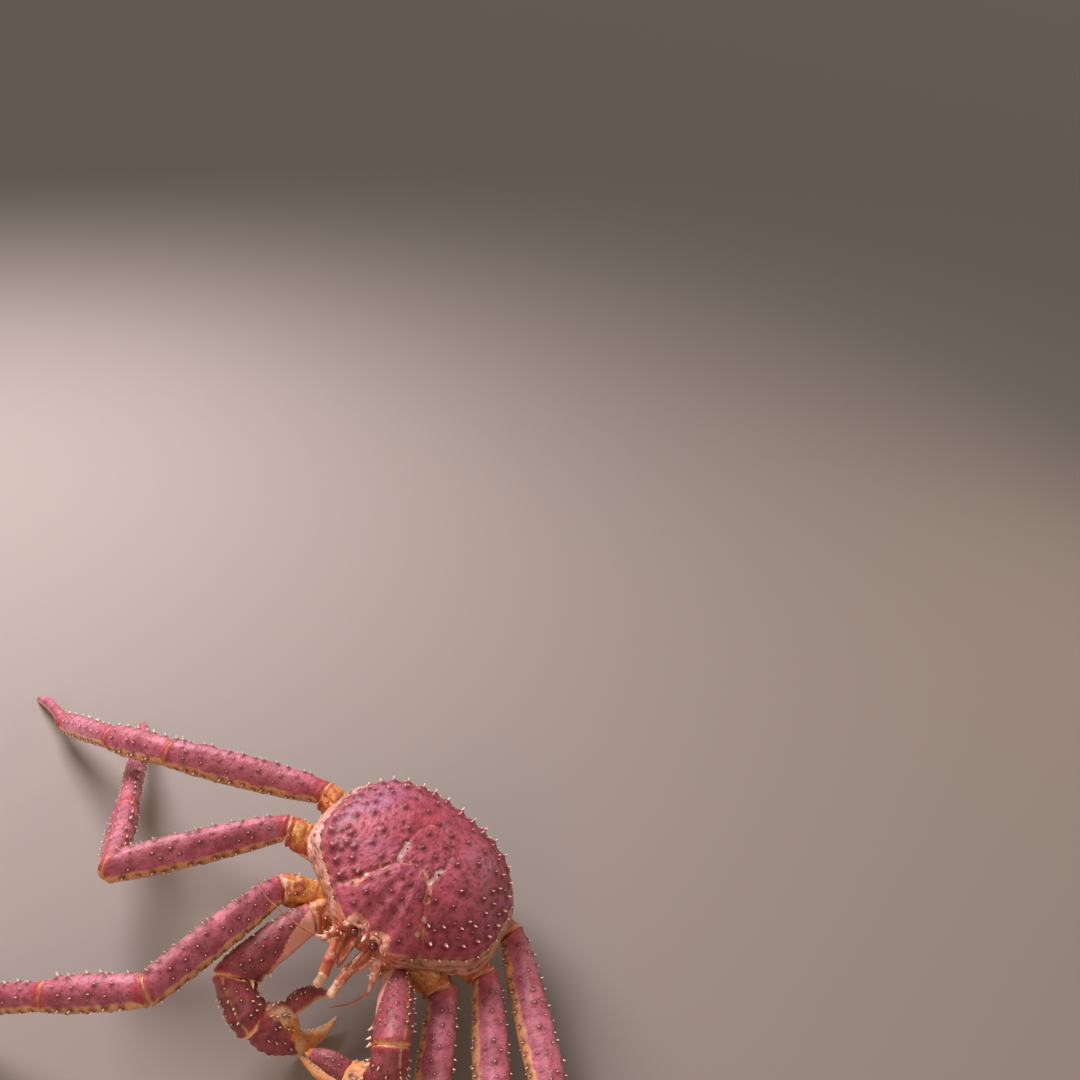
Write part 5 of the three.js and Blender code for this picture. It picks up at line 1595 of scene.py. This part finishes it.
def bristle_brush(points, side):
    """Fine pale bristles round the last length of a mouth leg."""
    *_, near, last = points
    start, end = (standing((side * x, y, z)) for x, y, z, _ in (near, last))
    brush = piece_frame(start, end, 1, 0)
    turn = feeler_rng.uniform(0, 2 * math.pi, BRISTLE_COUNT)
    out = np.cos(turn)[:, None] * brush["fore"] + np.sin(turn)[:, None] * brush["up"]
    share = feeler_rng.uniform(0.2, 1.25, BRISTLE_COUNT)
    radius = (near[3] + (last[3] - near[3]) * share) * 0.85
    roots = start + np.outer(share, end - start) + out * radius[:, None]
    bristles = thorn_set(roots, out * 0.6 + brush["along"], feeler_rng.uniform(1.8, 3.2, BRISTLE_COUNT), 0.05)
    bristles["thick"] = np.full(BRISTLE_COUNT, BRISTLE_RADIUS)
    return bristles


def make_feelers(side_name, side, seed):
    """The antenna, the antennule and the outer mouth leg of one side, with the palps beside it."""
    antenna = ANTENNAE[side_name]
    mouth_leg = MAXILLIPEDS[side_name]
    palps = [
        rope_skin(
            standing([(side * x, y, z) for x, y, z, _ in palp]), [radius for *_, radius in palp],
            seed + 40 + i, marks={"pale": 0.3, "red": 0.3}, rough=1.4,
        )
        for i, palp in enumerate(PALPS)
    ]
    antenna_thorns = chain_thorns(antenna, side, 7, 4.4)
    leg_thorns = joined_thorns([chain_thorns(mouth_leg, side, 4, 1.6), bristle_brush(mouth_leg, side)])
    for piece, skins, thorns in (
        ("antenna", chain_skins(antenna, side, seed), antenna_thorns),
        ("antennule", chain_skins(ANTENNULE, side, seed + 10), None),
        ("maxilliped", chain_skins(mouth_leg, side, seed + 20) + palps, leg_thorns),
    ):
        make_piece(f"{piece}_{side_name}", skins, thorns, mouth_shell, mouth_horn)


# Cornea: a dark red-brown, finely faceted skin with a wet gloss, cupped by the shell of its stalk.
# The real facets are about a tenth of a millimetre wide, and are drawn coarser so that they show.
FACET_WIDTH = 0.385


def cornea_material():
    """The eye's skin, darker round the edge of each facet."""
    material, tree, shader, place = new_material("cornea")
    facets = add_node(tree, "ShaderNodeTexVoronoi", {
        "Vector": place, "Scale": pattern_scale(FACET_WIDTH),
    }).outputs["Distance"]
    rim = add_node(
        tree, "ShaderNodeMapRange", {"Value": facets, "From Min": 0.2, "From Max": 0.6},
        interpolation_type="SMOOTHSTEP",
    )
    base = painted(tree, linear("94303a"), [(rim.outputs[0], 1, linear("4c1218"))])
    bump = add_node(tree, "ShaderNodeBump", {"Height": facets, "Strength": 0.08, "Distance": 0.2 * MM})
    tree.links.new(base, shader.inputs["Base Color"])
    tree.links.new(bump.outputs[0], shader.inputs["Normal"])
    shader.inputs["Roughness"].default_value = 0.16
    shader.inputs["Coat Weight"].default_value = 0.8
    shader.inputs["Coat Roughness"].default_value = 0.05
    return material


cornea = cornea_material()


def stalk_paint(share, angle, points):
    """Paler towards the eye."""
    return {"pale": smooth_step(0.3, 0.9, share)}


def make_eye(side_name, side):
    """One eyeball, and the stalk that cups it."""
    centre = standing((side * EYE_CENTRE[0], EYE_CENTRE[1], EYE_CENTRE[2]))
    root = standing((side * EYE_STALK[0], EYE_STALK[1], EYE_STALK[2]))
    look = piece_frame(root, centre, 1, 0)
    ball = hinge_ball(centre, look, EYE_RADIUS, EYE_RADIUS)
    make_piece(f"eye_{side_name}", [ball], None, cornea, cornea)
    length = look["length"] - 0.4
    radii = np.array([STALK_RADIUS, STALK_RADIUS, STALK_RADIUS * 1.25, EYE_RADIUS * 1.04])
    at = np.array([0, 0.4, 0.8, 1]) * length
    stations = {"at": at, "high": radii, "wide": radii, "lift": np.zeros(4)}
    cup = [(centre - look["along"] * GAP, -look["along"])]
    stalk = tube_skin(look, stations, None, cup, stalk_paint, seed=3, sides=CHAIN_SIDES, rough=0.3, lip=0.4)
    make_piece(
        f"eye_stalk_{side_name}", [stalk], None, mouth_shell, mouth_horn,
        [f"eye_{side_name}"],
    )


for side_name, side in (("right", -1), ("left", 1)):
    make_eye(side_name, side)
    make_feelers(side_name, side, 200 if side < 0 else 300)
